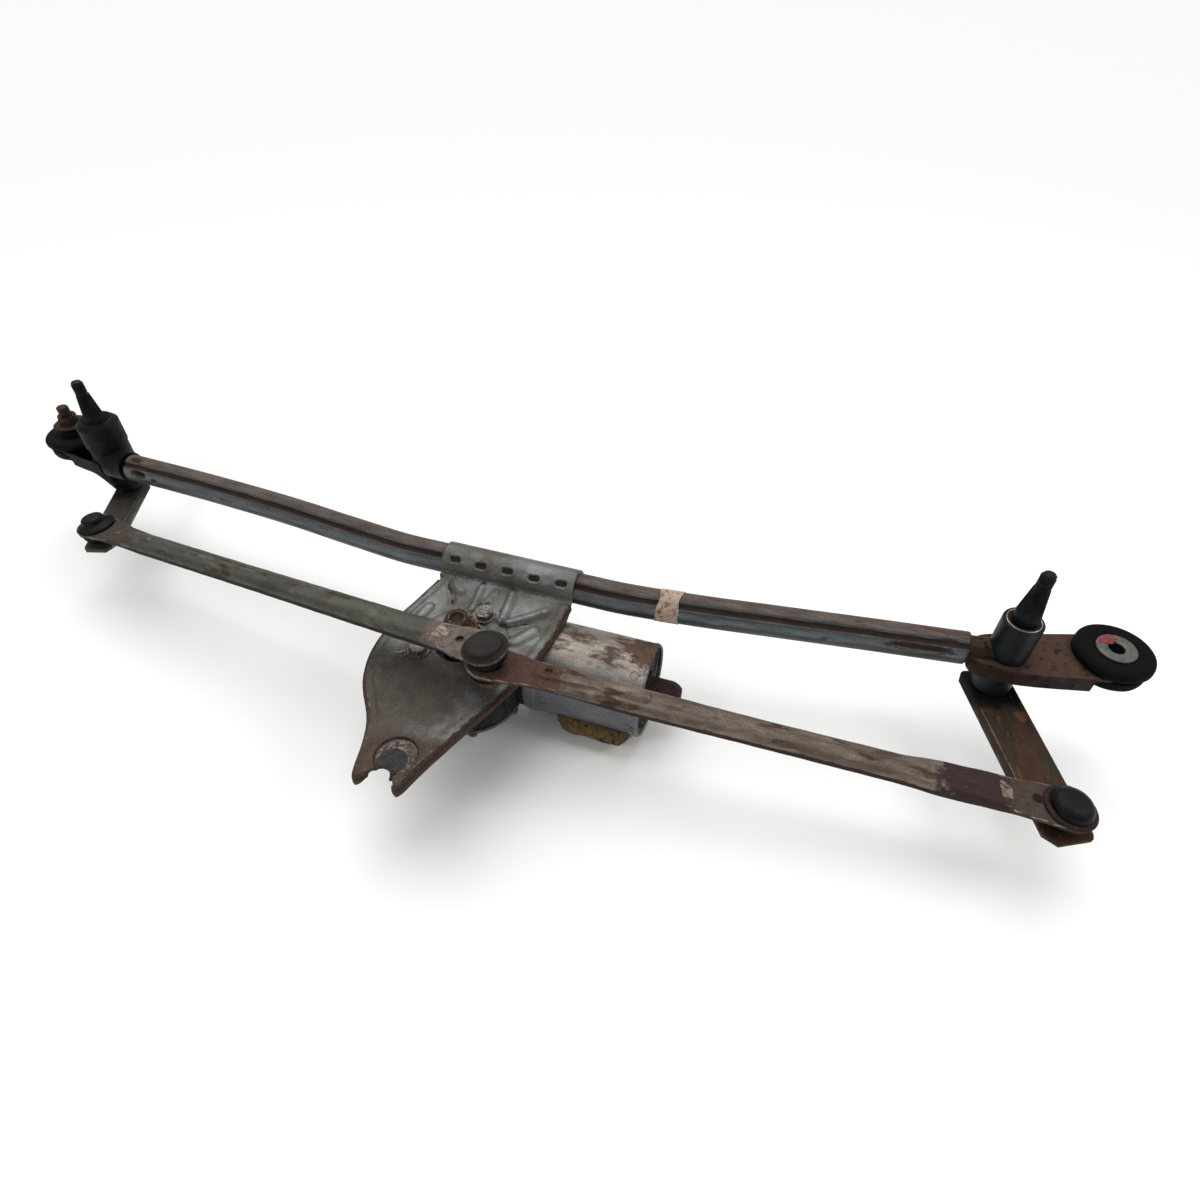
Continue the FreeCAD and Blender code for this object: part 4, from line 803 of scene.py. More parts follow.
def buildBracket():
    b = bracketShape
    crease = b["tubeY"] - b["wrapRadius"] - b["creaseRadius"]
    wallBottom = b["top"] + b["rampHeight"] + b["creaseRadius"]
    wrapStart = crease + b["creaseRadius"] * math.pi / 2 - wallBottom
    end = wrapStart + b["wrapRadius"] * math.radians(180 - b["wrapEnd"])
    fx, fy, fr = b["fork"]
    # the fork's mouth follows its round seat
    mouth = [(fx + fr * math.cos(math.radians(a)), fy + fr * math.sin(math.radians(a)))
             for a in range(222, 222 - 265, -12)]
    front = softLine(b["outline"]) + mouth + softLine(b["outlineRight"])
    outer = front + [(b["right"], crease + 0.8), (b["right"], end), (b["left"], end),
                     (b["left"], crease + 0.8)]
    sx, sy = b["shaft"]
    bolts = [(sx + b["boltCircle"] * math.cos(math.radians(a)),
              sy + b["boltCircle"] * math.sin(math.radians(a)))
             for a in b["boltAngles"]]
    holes = [circleLoop(sx, sy, b["shaftHole"], 56)]
    holes += [circleLoop(x, y, b["boltHole"], 18) for x, y in bolts]
    first, spacing, count, pitAngles = b["pits"]
    arcs = [wrapStart + b["wrapRadius"] * math.radians(180 - angle) for angle in pitAngles]
    pits = [(first + spacing * i, arcs[i % 2]) for i in range(count)]
    pitGrid, seatGrid = b["fineGrid"]
    fine = [(x, y, 5.0, pitGrid) for x, y in pits] + [(*b["seat"][:2], 14.5, seatGrid)]
    flat, tris = blank(outer, holes, b["grid"], fine)
    x, s = flat[:, 0], flat[:, 1]
    relief, painted_shade_and_grime, painted_highlight = np.zeros((3, len(flat)))
    onPlate = s < crease - 1.0
    edgeGap = np.full(len(flat), 1e9)
    for a, c in zip(front, front[1:]):
        edgeGap = np.minimum(edgeGap, toSegment(flat, a, c))
    fromFork = np.hypot(x - fx, s - fy) - fr
    rolledOnly = np.maximum(edgeGap, b["edgeRoll"] + np.clip(fromFork, 0, 9))
    edgeGap = np.where(np.hypot(x - fx, s - fy) < fr + 4.5, rolledOnly, edgeGap)
    # pressed platform inside a lower rim, with painted shade along its step and a painted highlight
    # just inside it
    inner = smooth(unit((edgeGap - b["rim"]) / 1.6))
    forkFade = unit((s + 156) / 14)
    relief += np.where(onPlate, -b["rimDrop"] * (1 - inner) * forkFade, 0)
    painted_shade_and_grime += np.where(onPlate, 0.55 * band(edgeGap - b["rim"], 1.3) * forkFade, 0)
    painted_highlight += np.where(onPlate, 0.5 * band(edgeGap - b["rim"] - 2.0, 1.2) * forkFade, 0)
    # the edge itself rolls over into the turned-down skirt, with a painted highlight along the roll
    roll = unit(1 - edgeGap / b["edgeRoll"])
    drop = b["edgeRoll"] * (1 - np.sqrt(unit(1 - roll ** 2)))
    relief -= np.where(onPlate, drop, 0)
    painted_highlight += np.where(onPlate, 0.6 * band(edgeGap - 2.4, 1.0), 0)
    # round gearbox pad with its three bolt lobes, and the ring pressed round it; painted shade at
    # the pad's foot, painted highlights on its edge and on the hole's lip
    r = np.hypot(x - sx, s - sy)
    lobe = np.min([np.hypot(x - bx, s - by) - 8.6 for bx, by in bolts], axis=0)
    padGap = np.minimum(r - b["padRadius"], lobe)
    pad = smooth(unit(-padGap / 1.4 + 0.5))
    relief += np.where(onPlate, b["padRise"] * pad, 0)
    painted_shade_and_grime += np.where(onPlate, 0.5 * band(padGap - 0.9, 1.1), 0)
    painted_highlight += np.where(onPlate, 0.5 * band(padGap + 1.3, 1.0), 0)
    lip = band(r - b["shaftHole"] - 1.6, 1.6)
    relief += 0.9 * lip ** 2
    painted_highlight += 0.55 * lip
    # stiffening ribs, hollows and the troughs that run down from the tube; painted highlights on
    # the ribs, painted shade beside them and in the troughs
    for a, c, half, high in b["ribs"]:
        d = toSegment(flat, a, c)
        relief += swell(d, half, high, 2.1)
        painted_highlight += 0.62 * unit(1 - d / (half + 0.5))
        painted_shade_and_grime += 0.4 * band(d - half - 2.0, 1.3)
    for a, c, half, deep in b["troughs"]:
        d = toSegment(flat, a, c)
        relief -= swell(d, half, deep, 1.9)
        painted_shade_and_grime += 0.5 * unit(1 - d / (half + 0.9))
    # broad soft dish over the lower half, as the drawn panel has
    dish = unit(1 - np.hypot((x - 6) / 34, (s + 124) / 26))
    relief -= np.where(onPlate, b["dishDepth"] * dish * dish * (3 - 2 * dish), 0)
    # coined seat round the fork: a step down and flat, with a painted highlight on it and painted
    # shade at its edge
    qx, qy, qr = b["seat"]
    q = np.hypot(x - qx, s - qy)
    step = unit((qr + 0.35 - q) / 0.7)
    bossed = band(q - qr - 1.6, 2.0)
    near = (s > -176)
    relief = np.where((q < qr + 4) & near, relief + 0.5 * bossed - 1.1 * step, relief)
    painted_highlight += np.where(near, 0.45 * (q < qr - 0.4), 0)
    painted_shade_and_grime += np.where(near, 0.9 * band(q - qr, 0.7), 0)
    # staking pits along the wrap, with painted shade in them and a painted highlight round their
    # rims
    for px, ps in pits:
        d = toSegment(flat, (px - 1.7, ps), (px + 1.7, ps + 0.3))
        relief -= 1.25 * unit((2.3 - d) / 0.7) ** 0.7 * (d < 2.3)
        relief += 0.22 * band(d - 3.0, 0.8)
        painted_shade_and_grime += 0.8 * unit((2.35 - d) / 0.8)
        painted_highlight += 0.5 * band(d - 2.8, 0.5)
    # painted shade along the crease, a painted highlight along the wrap
    painted_shade_and_grime += band(s - crease - 1.0, 1.8) * 0.6 * ((x > b["left"] + 1) & (x < b["right"] - 1))
    painted_highlight += 0.25 * band(s - wrapStart - 3.5, 2.2)
    wobble = 0.16 * np.sin(x * 0.21 + 1.3) * np.sin(s * 0.17) + 0.08 * np.sin(x * 0.5 + s * 0.33)
    relief += np.where(onPlate & (edgeGap > 6), wobble, 0)
    verts = []
    for px, ps, h in zip(x, s, relief):
        y, z, ny, nz = wrapLine(ps)
        verts.append(place(px, y + ny * h, z + nz * h))
    edge = unit(1 - edgeGap / 4.5) * onPlate
    piece = makePiece("bracket_look", verts, tris, bracketZinc, "frame", ["motor_bracket"],
                      sharp=46,
                      attributes=dict(painted_shade_and_grime=unit(painted_shade_and_grime), painted_highlight=unit(painted_highlight), edge=unit(edge)))
    thicken(piece, b["sheet"])
    return front


bracketEdge = buildBracket()


def buildSkirt(line):
    # the flange turned down along the plate's outline
    b = bracketShape
    fx, fy, fr = b["fork"]
    run = [p for p in spread(line, 1.5) if p[1] < -41 and math.hypot(p[0] - fx, p[1] - fy) > fr
           + 5.5]
    start = max(range(len(run)), key=lambda i: math.dist(run[i], run[i - 1]))
    run = run[start:] + run[:start]
    gaps = [i for i in range(1, len(run)) if math.dist(run[i], run[i - 1]) > 6]
    parts = [run[a:c] for a, c in zip([0] + gaps, gaps + [len(run)])]
    verts, faces, edge = [], [], []
    heights = b["skirtHeights"]
    for part in parts:
        if len(part) < 3:
            continue
        for i, p in enumerate(part):
            a, c = Vector(part[max(0, i - 1)]), Vector(part[min(len(part) - 1, i + 1)])
            side = Vector((-(c - a).y, (c - a).x)).normalized()
            taper = min(1, i / 4, (len(part) - 1 - i) / 4)
            for k, h in enumerate(heights):
                lean = 0.25 * k
                verts.append(place(p[0] - side.x * lean * 0.3, p[1] - side.y * lean * 0.3,
                                   b["top"] + rampRise(p[1]) + heights[0] + (h - heights[0])
                                   * taper))
                edge.append(0.9)
        base = len(verts) - len(part) * len(heights)
        n = len(heights)
        for i in range(len(part) - 1):
            for k in range(n - 1):
                faces.append((base + i * n + k, base + i * n + k + 1, base + (i + 1) * n + k + 1,
                              base + (i + 1) * n + k))
    piece = makePiece("bracket_skirt", verts, faces, bracketZinc, "frame",
                      attributes=dict(edge=edge))
    thicken(piece, b["skirtSheet"])


buildSkirt(bracketEdge)
print("bracket pressed")


# links: pressed channels with flat eyes, ball joints at both ends

ballRadius = 4.6
ballDrop = 2.6


def ballOf(node):
    low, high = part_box(node)
    return Vector(((low.x + high.x) / 2, (low.y + high.y) / 2, high.z - ballRadius * mm))


def linkFrame(a, b):
    along = (b - a).normalized()
    side = Vector((0, 0, 1)).cross(along).normalized()
    turn = Matrix((along, side, along.cross(side))).transposed().to_4x4()
    return Matrix.Translation(a) @ turn, (b - a).length / mm


def eased(stations, column, x):
    # value between stations, easing in and out of each
    xs = np.array([s[0] for s in stations], float)
    ys = np.array([s[column] for s in stations], float)
    i = np.clip(np.searchsorted(xs, x, side="right") - 1, 0, len(xs) - 2)
    t = smooth(unit((x - xs[i]) / (xs[i + 1] - xs[i])))
    return ys[i] * (1 - t) + ys[i + 1] * t


# stations: where, half width, rise over the flat, depth of the sides, corner radius
leftLinkShape = dict(
    sheet=2.0, eyeHole=7.6, grid=1.15, holes=[(319.0, 0.6, 1.9)],
    stations=[(0, 12.4, 0, 0.8, 0.9), (10, 11.6, 0, 0.8, 0.9), (20, 10.2, 0.1, 0.9, 1.0),
              (34, 8.4, 1.2, 2.4, 2.6), (56, 7.5, 2.2, 3.8, 4.2), (150, 7.2, 2.4, 4.0, 4.4),
              (270, 7.6, 2.5, 4.0, 4.6), (303, 8.2, 2.6, 3.6, 4.4), (313, 9.4, 0.1, 1.0, 1.0),
              (322, 11.2, 0, 0.8, 0.9), (336, 12.4, 0, 0.8, 0.9)],
    ridges=[((24, 0), (60, 0), 1.6, 0.8), ((60, 0.6), (150, 0.6), 1.2, 0.5)],
    troughs=[((96, 2.6), (240, 2.4), 0.5, 0.35)])
rightLinkShape = dict(
    sheet=2.0, eyeHole=7.6, grid=1.15, holes=[(32.5, 2.2, 1.9), (284.5, 1.2, 2.4)],
    stations=[(0, 12.4, 0, 0.8, 0.9), (12, 10.8, 0, 0.8, 0.9), (26, 8.9, 0.0, 0.9, 1.0),
              (44, 8.3, 0.5, 1.5, 1.4), (78, 7.8, 1.9, 3.4, 3.4), (150, 7.1, 2.3, 3.9, 3.9),
              (215, 7.3, 2.4, 3.9, 3.9), (240, 9.2, 2.5, 3.6, 3.4), (264, 9.6, 2.3, 3.0, 2.8),
              (274, 10.4, 0.1, 1.2, 1.0), (286, 11.4, 0, 0.8, 0.9), (300, 12.4, 0, 0.8, 0.9)],
    ridges=[((29, 1.2), (84, 0.8), 3.1, 1.5), ((84, 0.8), (120, 0.4), 2.0, 0.5),
            ((236, 0), (262, 0), 3.4, 0.6)],
    troughs=[((238, 4.4), (266, 4.6), 0.6, 0.5), ((126, 1.6), (226, 1.5), 0.5, 0.3)])


def buildLink(name, a, b, shape, finish, body, node):
    frameOf, length = linkFrame(a, b)
    st = shape["stations"]
    scaled = [(x * length / st[-1][0], *rest) for x, *rest in st]

    def girth(x):
        w, k, c = eased(scaled, 1, x), eased(scaled, 3, x), eased(scaled, 4, x)
        return w - c + math.pi * c / 2 + k

    reach = girth(np.array([0.0]))[0]
    xs = np.arange(0, length, 1.6)
    top = [(float(x), float(g)) for x, g in zip(xs, girth(xs))]
    endReach = girth(np.array([length]))[0]
    ends = [(length + endReach * math.sin(t), endReach * math.cos(t))
            for t in np.linspace(0, math.pi, 26)]
    starts = [(-reach * math.sin(t), -reach * math.cos(t))
              for t in np.linspace(0, math.pi, 26)][1:-1]
    outer = top + ends + [(x, -s) for x, s in reversed(top)] + starts
    holes = [circleLoop(0, 0, shape["eyeHole"], 32), circleLoop(length, 0, shape["eyeHole"], 32)]
    holes += [circleLoop(x, s, r, 22) for x, s, r in shape["holes"]]
    fine = [(x, s, r + 3.0, 0.6) for x, s, r in shape["holes"]]
    flat, tris = blank(outer, holes, shape["grid"], fine)
    x, s = flat[:, 0].copy(), flat[:, 1]
    # past each eye's centre the sheet is a disc: measure it along the radius instead
    cx = np.clip(x, 0, length)
    radial = np.hypot(x - cx, s)
    over = (x < 0) | (x > length)
    across = np.where(over, radial, np.abs(s))
    w, crown = eased(scaled, 1, cx), eased(scaled, 2, cx)
    k, c = eased(scaled, 3, cx), eased(scaled, 4, cx)
    t = np.clip((across - (w - c)) / c, 0, math.pi / 2)
    down = np.clip(across - (w - c) - c * math.pi / 2, 0, None)
    out = np.where(across <= w - c, across, w - c + c * np.sin(t))
    z = 1.1 + crown - c * (1 - np.cos(t)) - down
    z += 0.35 * unit(crown) * unit(1 - (across / np.maximum(w - c, 1)) ** 2)
    painted_shade_and_grime, painted_highlight = np.zeros(len(x)), np.zeros(len(x))
    # painted highlights on the ridges, painted shade beside them
    for p, q, half, high in shape["ridges"]:
        d = toSegment(flat, p, q)
        z += swell(d, half, high, 0.9)
        painted_shade_and_grime += 0.45 * band(d - half - 1.1, 0.8)
        painted_highlight += 0.5 * band(d - half + 0.2, 0.8)
    # painted shade in the troughs
    for p, q, half, deep in shape["troughs"]:
        d = toSegment(flat, p, q)
        z -= swell(d, half, deep, 0.7)
        painted_shade_and_grime += 0.7 * unit(1 - d / (half + 0.6))
    # painted shade round the small holes
    for hx, hs, hr in shape["holes"]:
        d = np.hypot(x - hx, s - hs) - hr
        painted_shade_and_grime += 0.9 * unit(1 - d / 1.1)
    # painted highlights where the channel rises from the eyes and along its edges
    slope = np.abs(np.gradient(eased(scaled, 2, np.arange(0, length + 1.0))))
    ramp = np.interp(cx, np.arange(0, length + 1.0), slope)
    painted_highlight += 0.58 * unit(ramp / 0.16 - 0.3) * unit(1.3 - across / w)
    painted_highlight += 0.5 * band(across - (w - c * 0.25), 1.1) * (crown < 0.4)
    painted_highlight += 0.35 * band(across - (w - c * 0.6), 1.2)
    # painted shade on the turned-down sides and their bends
    painted_shade_and_grime += 0.75 * unit(down / 2.0) + 0.3 * unit((t - 0.8) / 0.6)
    z += 0.10 * np.sin(cx * 0.31) * np.sin(cx * 0.11 + 2)
    verts = []
    for px, ps, o, h, ccx, rad, isOver in zip(x, s, out, z, cx, radial, over):
        if isOver and rad > 1e-6:
            local = (ccx + (px - ccx) * o / rad, ps * o / rad, h + ballDrop)
        else:
            local = (px, math.copysign(o, ps), h + ballDrop)
        verts.append(frameOf @ (Vector(local) * mm))
    piece = makePiece(name, verts, tris, finish, body, [node], sharp=50,
                      attributes=dict(painted_shade_and_grime=unit(painted_shade_and_grime), painted_highlight=unit(painted_highlight)))
    thicken(piece, shape["sheet"])
    return frameOf, length


leftBall, rightBall = ballOf("left_ball_stud"), ballOf("right_ball_stud")
leftFrame, leftLength = buildLink("left_link_look", leftBall, joints["left_link_swing"],
                                  leftLinkShape, leftLinkSteel, "left_linkage", "left_link")
rightFrame, rightLength = buildLink("right_link_look", joints["right_link_swing"], rightBall,
                                    rightLinkShape, rightLinkSteel, "right_linkage", "right_link")
print("links pressed")


# ball joint caps, cups and boots

capShapes = dict(
    left_cap=dict(x=0, body="left_linkage", finish=blackCap, profile=[
        (0, 1.2), (12.2, 1.2), (12.7, 1.9), (12.2, 3.0), (8.6, 4.7), (7.5, 5.3), (7.3, 7.6),
        (6.4, 8.7), (4.4, 9.1), (0, 9.2)]),
    centre_cap=dict(x=1, body="left_linkage", finish=brownCap, profile=[
        (0, 1.15), (11.2, 1.15), (11.4, 1.5), (11.1, 1.9), (10.4, 2.1), (10.1, 2.5), (9.9, 4.0),
        (9.2, 4.6), (8.4, 4.7), (7.9, 4.45), (0, 4.4)]),
    right_cap=dict(x=1, body="right_linkage", finish=blackCap, profile=[
        (0, 2.4), (10.5, 2.4), (10.6, 3.4), (10.1, 5.2), (8.8, 6.9), (6.8, 8.0), (5.0, 8.4),
        (2.4, 8.55), (0, 8.6)]))
# the rusty rings under two of the caps
capRings = dict(
    right_cap=("right_cap_flange", [(6.0, 1.2), (12.8, 1.2), (13.2, 1.8), (12.8, 2.6),
                                    (11.6, 2.9), (6.0, 2.6)]),
    centre_cap=("centre_cap_seat", [(8.2, 0.9), (12.2, 0.9), (12.5, 1.2), (12.2, 1.5),
                                    (8.2, 1.5)]))


def standing(x, y, z):
    return Matrix.Translation(Vector((x, y, z)))


def turnedPiece(name, profile, matrix, finish, body, stands=(), turns=96, soften=0.35, jitter=0.0,
                seed=3):
    verts, faces = lathe(rounded(profile, soften) if soften else profile, turns)
    if jitter:
        dice = random.Random(seed)
        waves = [(dice.uniform(0.2, 0.9), dice.uniform(0, 6.28), dice.uniform(-0.6, 0.6))
                 for _ in range(7)]
        angle = np.arctan2(verts[:, 1], verts[:, 0])
        bulge = sum(amp * np.sin((i + 2) * angle + phase + verts[:, 2] * lean)
                    for i, (amp, phase, lean) in enumerate(waves)) * jitter / 3
        far = np.hypot(verts[:, 0], verts[:, 1])
        verts[:, :2] *= (1 + np.where(far > 1, bulge / np.maximum(far, 1), 0))[:, None]
    placed = [matrix @ (Vector(v) * mm) for v in verts]
    return makePiece(name, placed, faces, finish, body, stands, sharp=40)


for key, cap in capShapes.items():
    frameOf, length = (rightFrame, rightLength) if key == "right_cap" else (leftFrame, leftLength)
    lifted = frameOf @ Matrix.Translation(Vector((cap["x"] * length, 0, ballDrop)) * mm)
    turnedPiece(key + "_look", cap["profile"], lifted, cap["finish"], cap["body"], [key],
                soften=0.5)
    if key in capRings:
        name, profile = capRings[key]
        turnedPiece(name, profile, lifted, flangeCap, cap["body"])

jointParts = dict(
    cup=[(7.3, -6.1), (9.6, -6.1), (11.2, -4.6), (11.5, -1.2), (7.3, -1.2)],
    boot=[(6.5, -7.6), (7.6, -8.1), (9.0, -7.6), (9.5, -6.9), (9.3, -6.2), (6.5, -6.2)])
nodeWords = dict(cup="socket", boot="boot")
for side, frameOf, length, body in (("left", leftFrame, leftLength, "left_linkage"),
                                    ("right", rightFrame, rightLength, "right_linkage")):
    for part, profile in jointParts.items():
        for end, x in (("near", 0), ("far", length)):
            lifted = frameOf @ Matrix.Translation(Vector((x, 0, ballDrop)) * mm)
            stands = ["%s_link_%ss" % (side, nodeWords[part])] if end == "near" else []
            turnedPiece("%s_%s_%s" % (side, part, end), profile, lifted, darkRubber, body, stands,
                        turns=72)
print("ball joints capped")


# levers: strips with one turned-down edge

leverShapes = dict(
    left_lever=dict(axis=leftAxis, ball=leftBall, body="left_drive", finish=leftLeverSteel,
                    half=10.0, back=9.0, beyond=13.0, flange=1),
    right_lever=dict(axis=rightAxis, ball=rightBall, body="right_drive", finish=rustedLever,
                     half=13.0, back=10.0, beyond=12.0, flange=-1))
leverStrip = dict(lip=5.2, bend=1.6, hole=6.1, ballHole=4.1, sheet=3.0, grid=1.3)


def buildLever(node, shape):
    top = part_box(node)[1].z
    root = Vector((shape["axis"].x, shape["axis"].y, top))
    end = Vector((shape["ball"].x, shape["ball"].y, top))
    along = (end - root).normalized()
    upward = Vector((0, 0, 1))
    turn = Matrix((along, upward.cross(along), upward)).transposed().to_4x4()
    frameOf = Matrix.Translation(root) @ turn
    length = (end - root).length / mm
    h, sign = shape["half"], shape["flange"]
    r, back, tip = leverStrip["bend"], shape["back"], length + shape["beyond"]
    extra = math.pi * r / 2 - r + leverStrip["lip"]
    outer = [(-back, -h * 0.9), (2, -h), (tip - 3, -h * 0.92), (tip, -h * 0.8), (tip + 2, h * 0.55),
             (tip - 4, h)]
    lip = [(length - 14, h), (length - 17, h + extra), (2, h + extra), (-back + 2, h + extra),
           (-back, h * 0.9)]
    outer += lip
    if sign < 0:
        outer = [(x, -s) for x, s in reversed(outer)]
    holes = [circleLoop(0, 0, leverStrip["hole"], 28),
             circleLoop(length, 0, leverStrip["ballHole"], 20)]
    flat, tris = blank(outer, holes, leverStrip["grid"])
    x, s = flat[:, 0], flat[:, 1] * sign
    t = np.clip((s - (h - r)) / r, 0, math.pi / 2)
    down = np.clip(s - (h - r) - r * math.pi / 2, 0, None)
    bent = x < length - 12
    y = np.where((s > h - r) & bent, h - r + r * np.sin(t), s)
    z = np.where((s > h - r) & bent, -r * (1 - np.cos(t)) - down, 0.0)
    z -= 0.25 * unit(1 - (h * 0.93 + s) / 0.8)
    # painted highlights along both long edges and on the turned-down lip
    painted_highlight = 0.8 * band(s - (h - r * 0.3), 1.1) + 0.45 * unit(down / 3)
    painted_highlight += 0.7 * band(s + h * 0.95, 0.9)
    verts = [frameOf @ (Vector((px, py * sign, pz)) * mm) for px, py, pz in zip(x, y, z)]
    piece = makePiece(node + "_look", verts, tris, shape["finish"], shape["body"], [node], sharp=50,
                      attributes=dict(painted_highlight=unit(painted_highlight)))
    thicken(piece, leverStrip["sheet"])


for node, shape in leverShapes.items():
    buildLever(node, shape)
print("levers cut and folded")


# rubber eyes, their washers and the left stud

eyes = dict(left=place(-353.0, 10.0, 0), right=Vector((0, 0, 0)))
grommetShape = dict(outer=21.0, neck=11.0, low=19.5, bottom=-8.0, top=7.0, bore=6.45,
                    recess=11.3)


def grommetProfile(g):
    low, bottom, outer, top = g["low"], g["bottom"], g["outer"], g["top"]
    return [(g["bore"], bottom), (low - 2.4, bottom), (low - 0.6, bottom + 1.0), (low, bottom + 3),
            (low, -1.2), (g["neck"], -1.1), (g["neck"], 1.1), (outer - 0.8, 1.15), (outer, 2.0),
            (outer, 4.2), (outer - 0.7, 5.6), (outer - 2.6, 6.8), (outer - 4.5, top),
            (g["recess"] + 1.2, top - 0.1), (g["recess"], 6.4), (g["bore"], 6.4)]


# piece, the CAD node it stands for, its eye, finish, profile, and how it is turned
eyePieces = [
    ("right_grommet_look", "right_grommet", "right", rubber, grommetProfile(grommetShape),
     dict(turns=144, jitter=0.28, seed=5)),
    ("left_grommet_look", "left_grommet", "left", darkRubber, grommetProfile(grommetShape),
     dict(turns=144, jitter=0.22, seed=9)),
    ("right_washer_look", "right_eye_washer", "right", washerZinc,
     [(4.3, 6.45), (10.3, 6.45), (10.6, 6.8), (10.5, 7.5), (10.1, 7.8), (5.0, 7.8), (4.3, 7.4)],
     dict(soften=0.2)),
    ("left_collar_look", "left_rubber_collar", "left", darkRubber,
     [(3.6, 6.45), (9.5, 6.45), (9.0, 7.8), (8.5, 9.8), (8.8, 11.6), (9.5, 12.95), (3.6, 12.95)],
     dict(soften=0.5, jitter=0.3, seed=4)),
    ("left_washer_look", "left_stud_washer", "left", bronzeRust,
     [(3.6, 13.0), (10.6, 12.9), (11.5, 13.3), (11.3, 13.9), (9.4, 14.4), (7.4, 14.8), (3.6, 14.8)],
     dict(soften=0.3, jitter=0.35, seed=12))]
for name, node, eye, finish, profile, turning in eyePieces:
    turnedPiece(name, profile, standing(*eyes[eye]), finish, "frame", [node], **turning)
softEdged("left_stud_nut", bronzeRust, 0.5)
softEdged("left_stud", bronzeRust, 0.25)


def drawnMark(name, points, width, height, finish, seed):
    # a dab or stroke of paint: rounded blobs strung along a line, flattened on the surface
    dice = random.Random(seed)
    form = bmesh.new()
    for x, y, z, size in points:
        spot = place(x + dice.uniform(-0.15, 0.15), y + dice.uniform(-0.15, 0.15), z)
        turn = Matrix.Rotation(dice.uniform(0, 6.28), 4, "Z")
        scale = Matrix.Diagonal((width * size * dice.uniform(0.85, 1.2) * mm,
                                 width * size * dice.uniform(0.8, 1.1) * mm, height * mm, 1))
        bmesh.ops.create_icosphere(form, subdivisions=3, radius=1.0,
                                   matrix=Matrix.Translation(spot) @ turn @ scale)
    mesh = bpy.data.meshes.new(name)
    form.to_mesh(mesh)
    form.free()
    mesh.materials.append(finish)
    mesh.shade_smooth()
    piece = addObject(name, mesh)
    melt = piece.modifiers.new("melt", "REMESH")
    melt.mode = "VOXEL"
    melt.voxel_size = 0.22 * mm
    melt.use_smooth_shade = True
    soft = piece.modifiers.new("soft", "SMOOTH")
    soft.iterations = 3
    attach(piece, "frame")


# dabs as x, y, z and relative size; then how wide and high a dab is
marks = dict(
    right_eye_mark=dict(width=2.0, height=0.45, finish=redPaint, seed=21, points=[
        (358.4, 19.4, 7.9, 1.0), (360.4, 20.6, 7.9, 1.1), (362.8, 21.4, 7.9, 0.8),
        (360.0, 18.6, 7.9, 0.8), (364.6, 20.6, 7.85, 0.5), (356.8, 17.6, 7.85, 0.5),
        (362.2, 18.2, 7.85, 0.6), (364.9, 22.6, 7.85, 0.45), (360.8, 22.4, 7.85, 0.8)]),
    bracket_mark=dict(width=0.85, height=0.3, finish=creamPaint, seed=8, points=[
        (-20.2, -99.6, -7.7, 0.7), (-19.0, -101.2, -7.7, 0.8), (-17.2, -101.4, -7.7, 0.9),
        (-15.6, -100.2, -7.7, 1.0), (-14.4, -98.8, -7.7, 0.9), (-12.8, -99.4, -7.7, 0.8),
        (-12.4, -101.6, -7.7, 0.7), (-13.4, -103.4, -7.7, 0.55), (-17.6, -99.2, -7.7, 0.6),
        (-18.2, -97.2, -7.7, 0.5)]),
    bolt_mark=dict(width=1.25, height=0.5, finish=creamPaint, seed=15, points=[
        (15.8, -53.6, -6.9, 1.0), (17.6, -53.0, -6.9, 1.1), (19.4, -53.4, -6.9, 1.0),
        (20.8, -54.6, -6.9, 0.9), (18.4, -51.6, -7.0, 0.7), (21.2, -52.8, -7.1, 0.5)]))
for name, mark in marks.items():
    drawnMark(name, **mark)
hubGrease = wornFinish("hubGrease", "171312 0e0c0c", 3, (0.5, 0.75), (0.7, 0.8),
    coat("3a2a22", 2, 0.3, 0.06, 0.85), bump=0.9, specular=0.25)
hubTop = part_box("output_shaft")[1].z
turnedPiece("crank_hub_grease", [(0, 0.35), (2.6, 0.4), (3.6, 0.6), (4.3, 1.3), (5.0, 1.9),
                                 (5.9, 2.2), (6.3, 1.9), (6.3, 0.1), (0, 0.1)],
            standing(shaftAxis.x, shaftAxis.y, hubTop), hubGrease, "crank", turns=48, jitter=0.5,
            seed=2)
gussetShape = [(-352, -6.0, 1.0, -8.5), (-340, -9.0, 1.0, -9.0), (-328, -11.6, 1.0, -9.6),
               (-321, -12.2, 1.0, -11.5), (-315, -12.4, 1.0, -16.0), (-309, -11.6, 1.0, -24.0)]


def buildGusset():
    # web that runs from the left eye's arm into the foot of its housing
    verts = []
    for x, y, top, bottom in gussetShape:
        for dy, z in ((0, top), (-0.5, top - 1.2), (-0.5, bottom + 1.2), (0, bottom), (9, bottom),
                      (9, top)):
            verts.append(place(x, y + dy, z))
    n = 6
    faces = gridFaces(len(gussetShape), n, True)
    faces += [tuple(range(n))[::-1], tuple(range(len(verts) - n, len(verts)))]
    piece = makePiece("left_arm_web", verts, faces, leftArmSteel, "frame", sharp=30)
    outwardFaces(piece)


buildGusset()
print("eyes and marks placed")


# things that repeat, grown by node trees

def newTree(name, inputs):
    tree = bpy.data.node_groups.new(name, "GeometryNodeTree")
    for key, value in inputs.items():
        socket = tree.interface.new_socket(key, in_out="INPUT",
                                           socket_type="NodeSocketInt" if isinstance(value, int)
                                           else "NodeSocketFloat")
        socket.default_value = value
    tree.interface.new_socket("Geometry", in_out="OUTPUT", socket_type="NodeSocketGeometry")
    return tree, tree.nodes.new("NodeGroupInput")


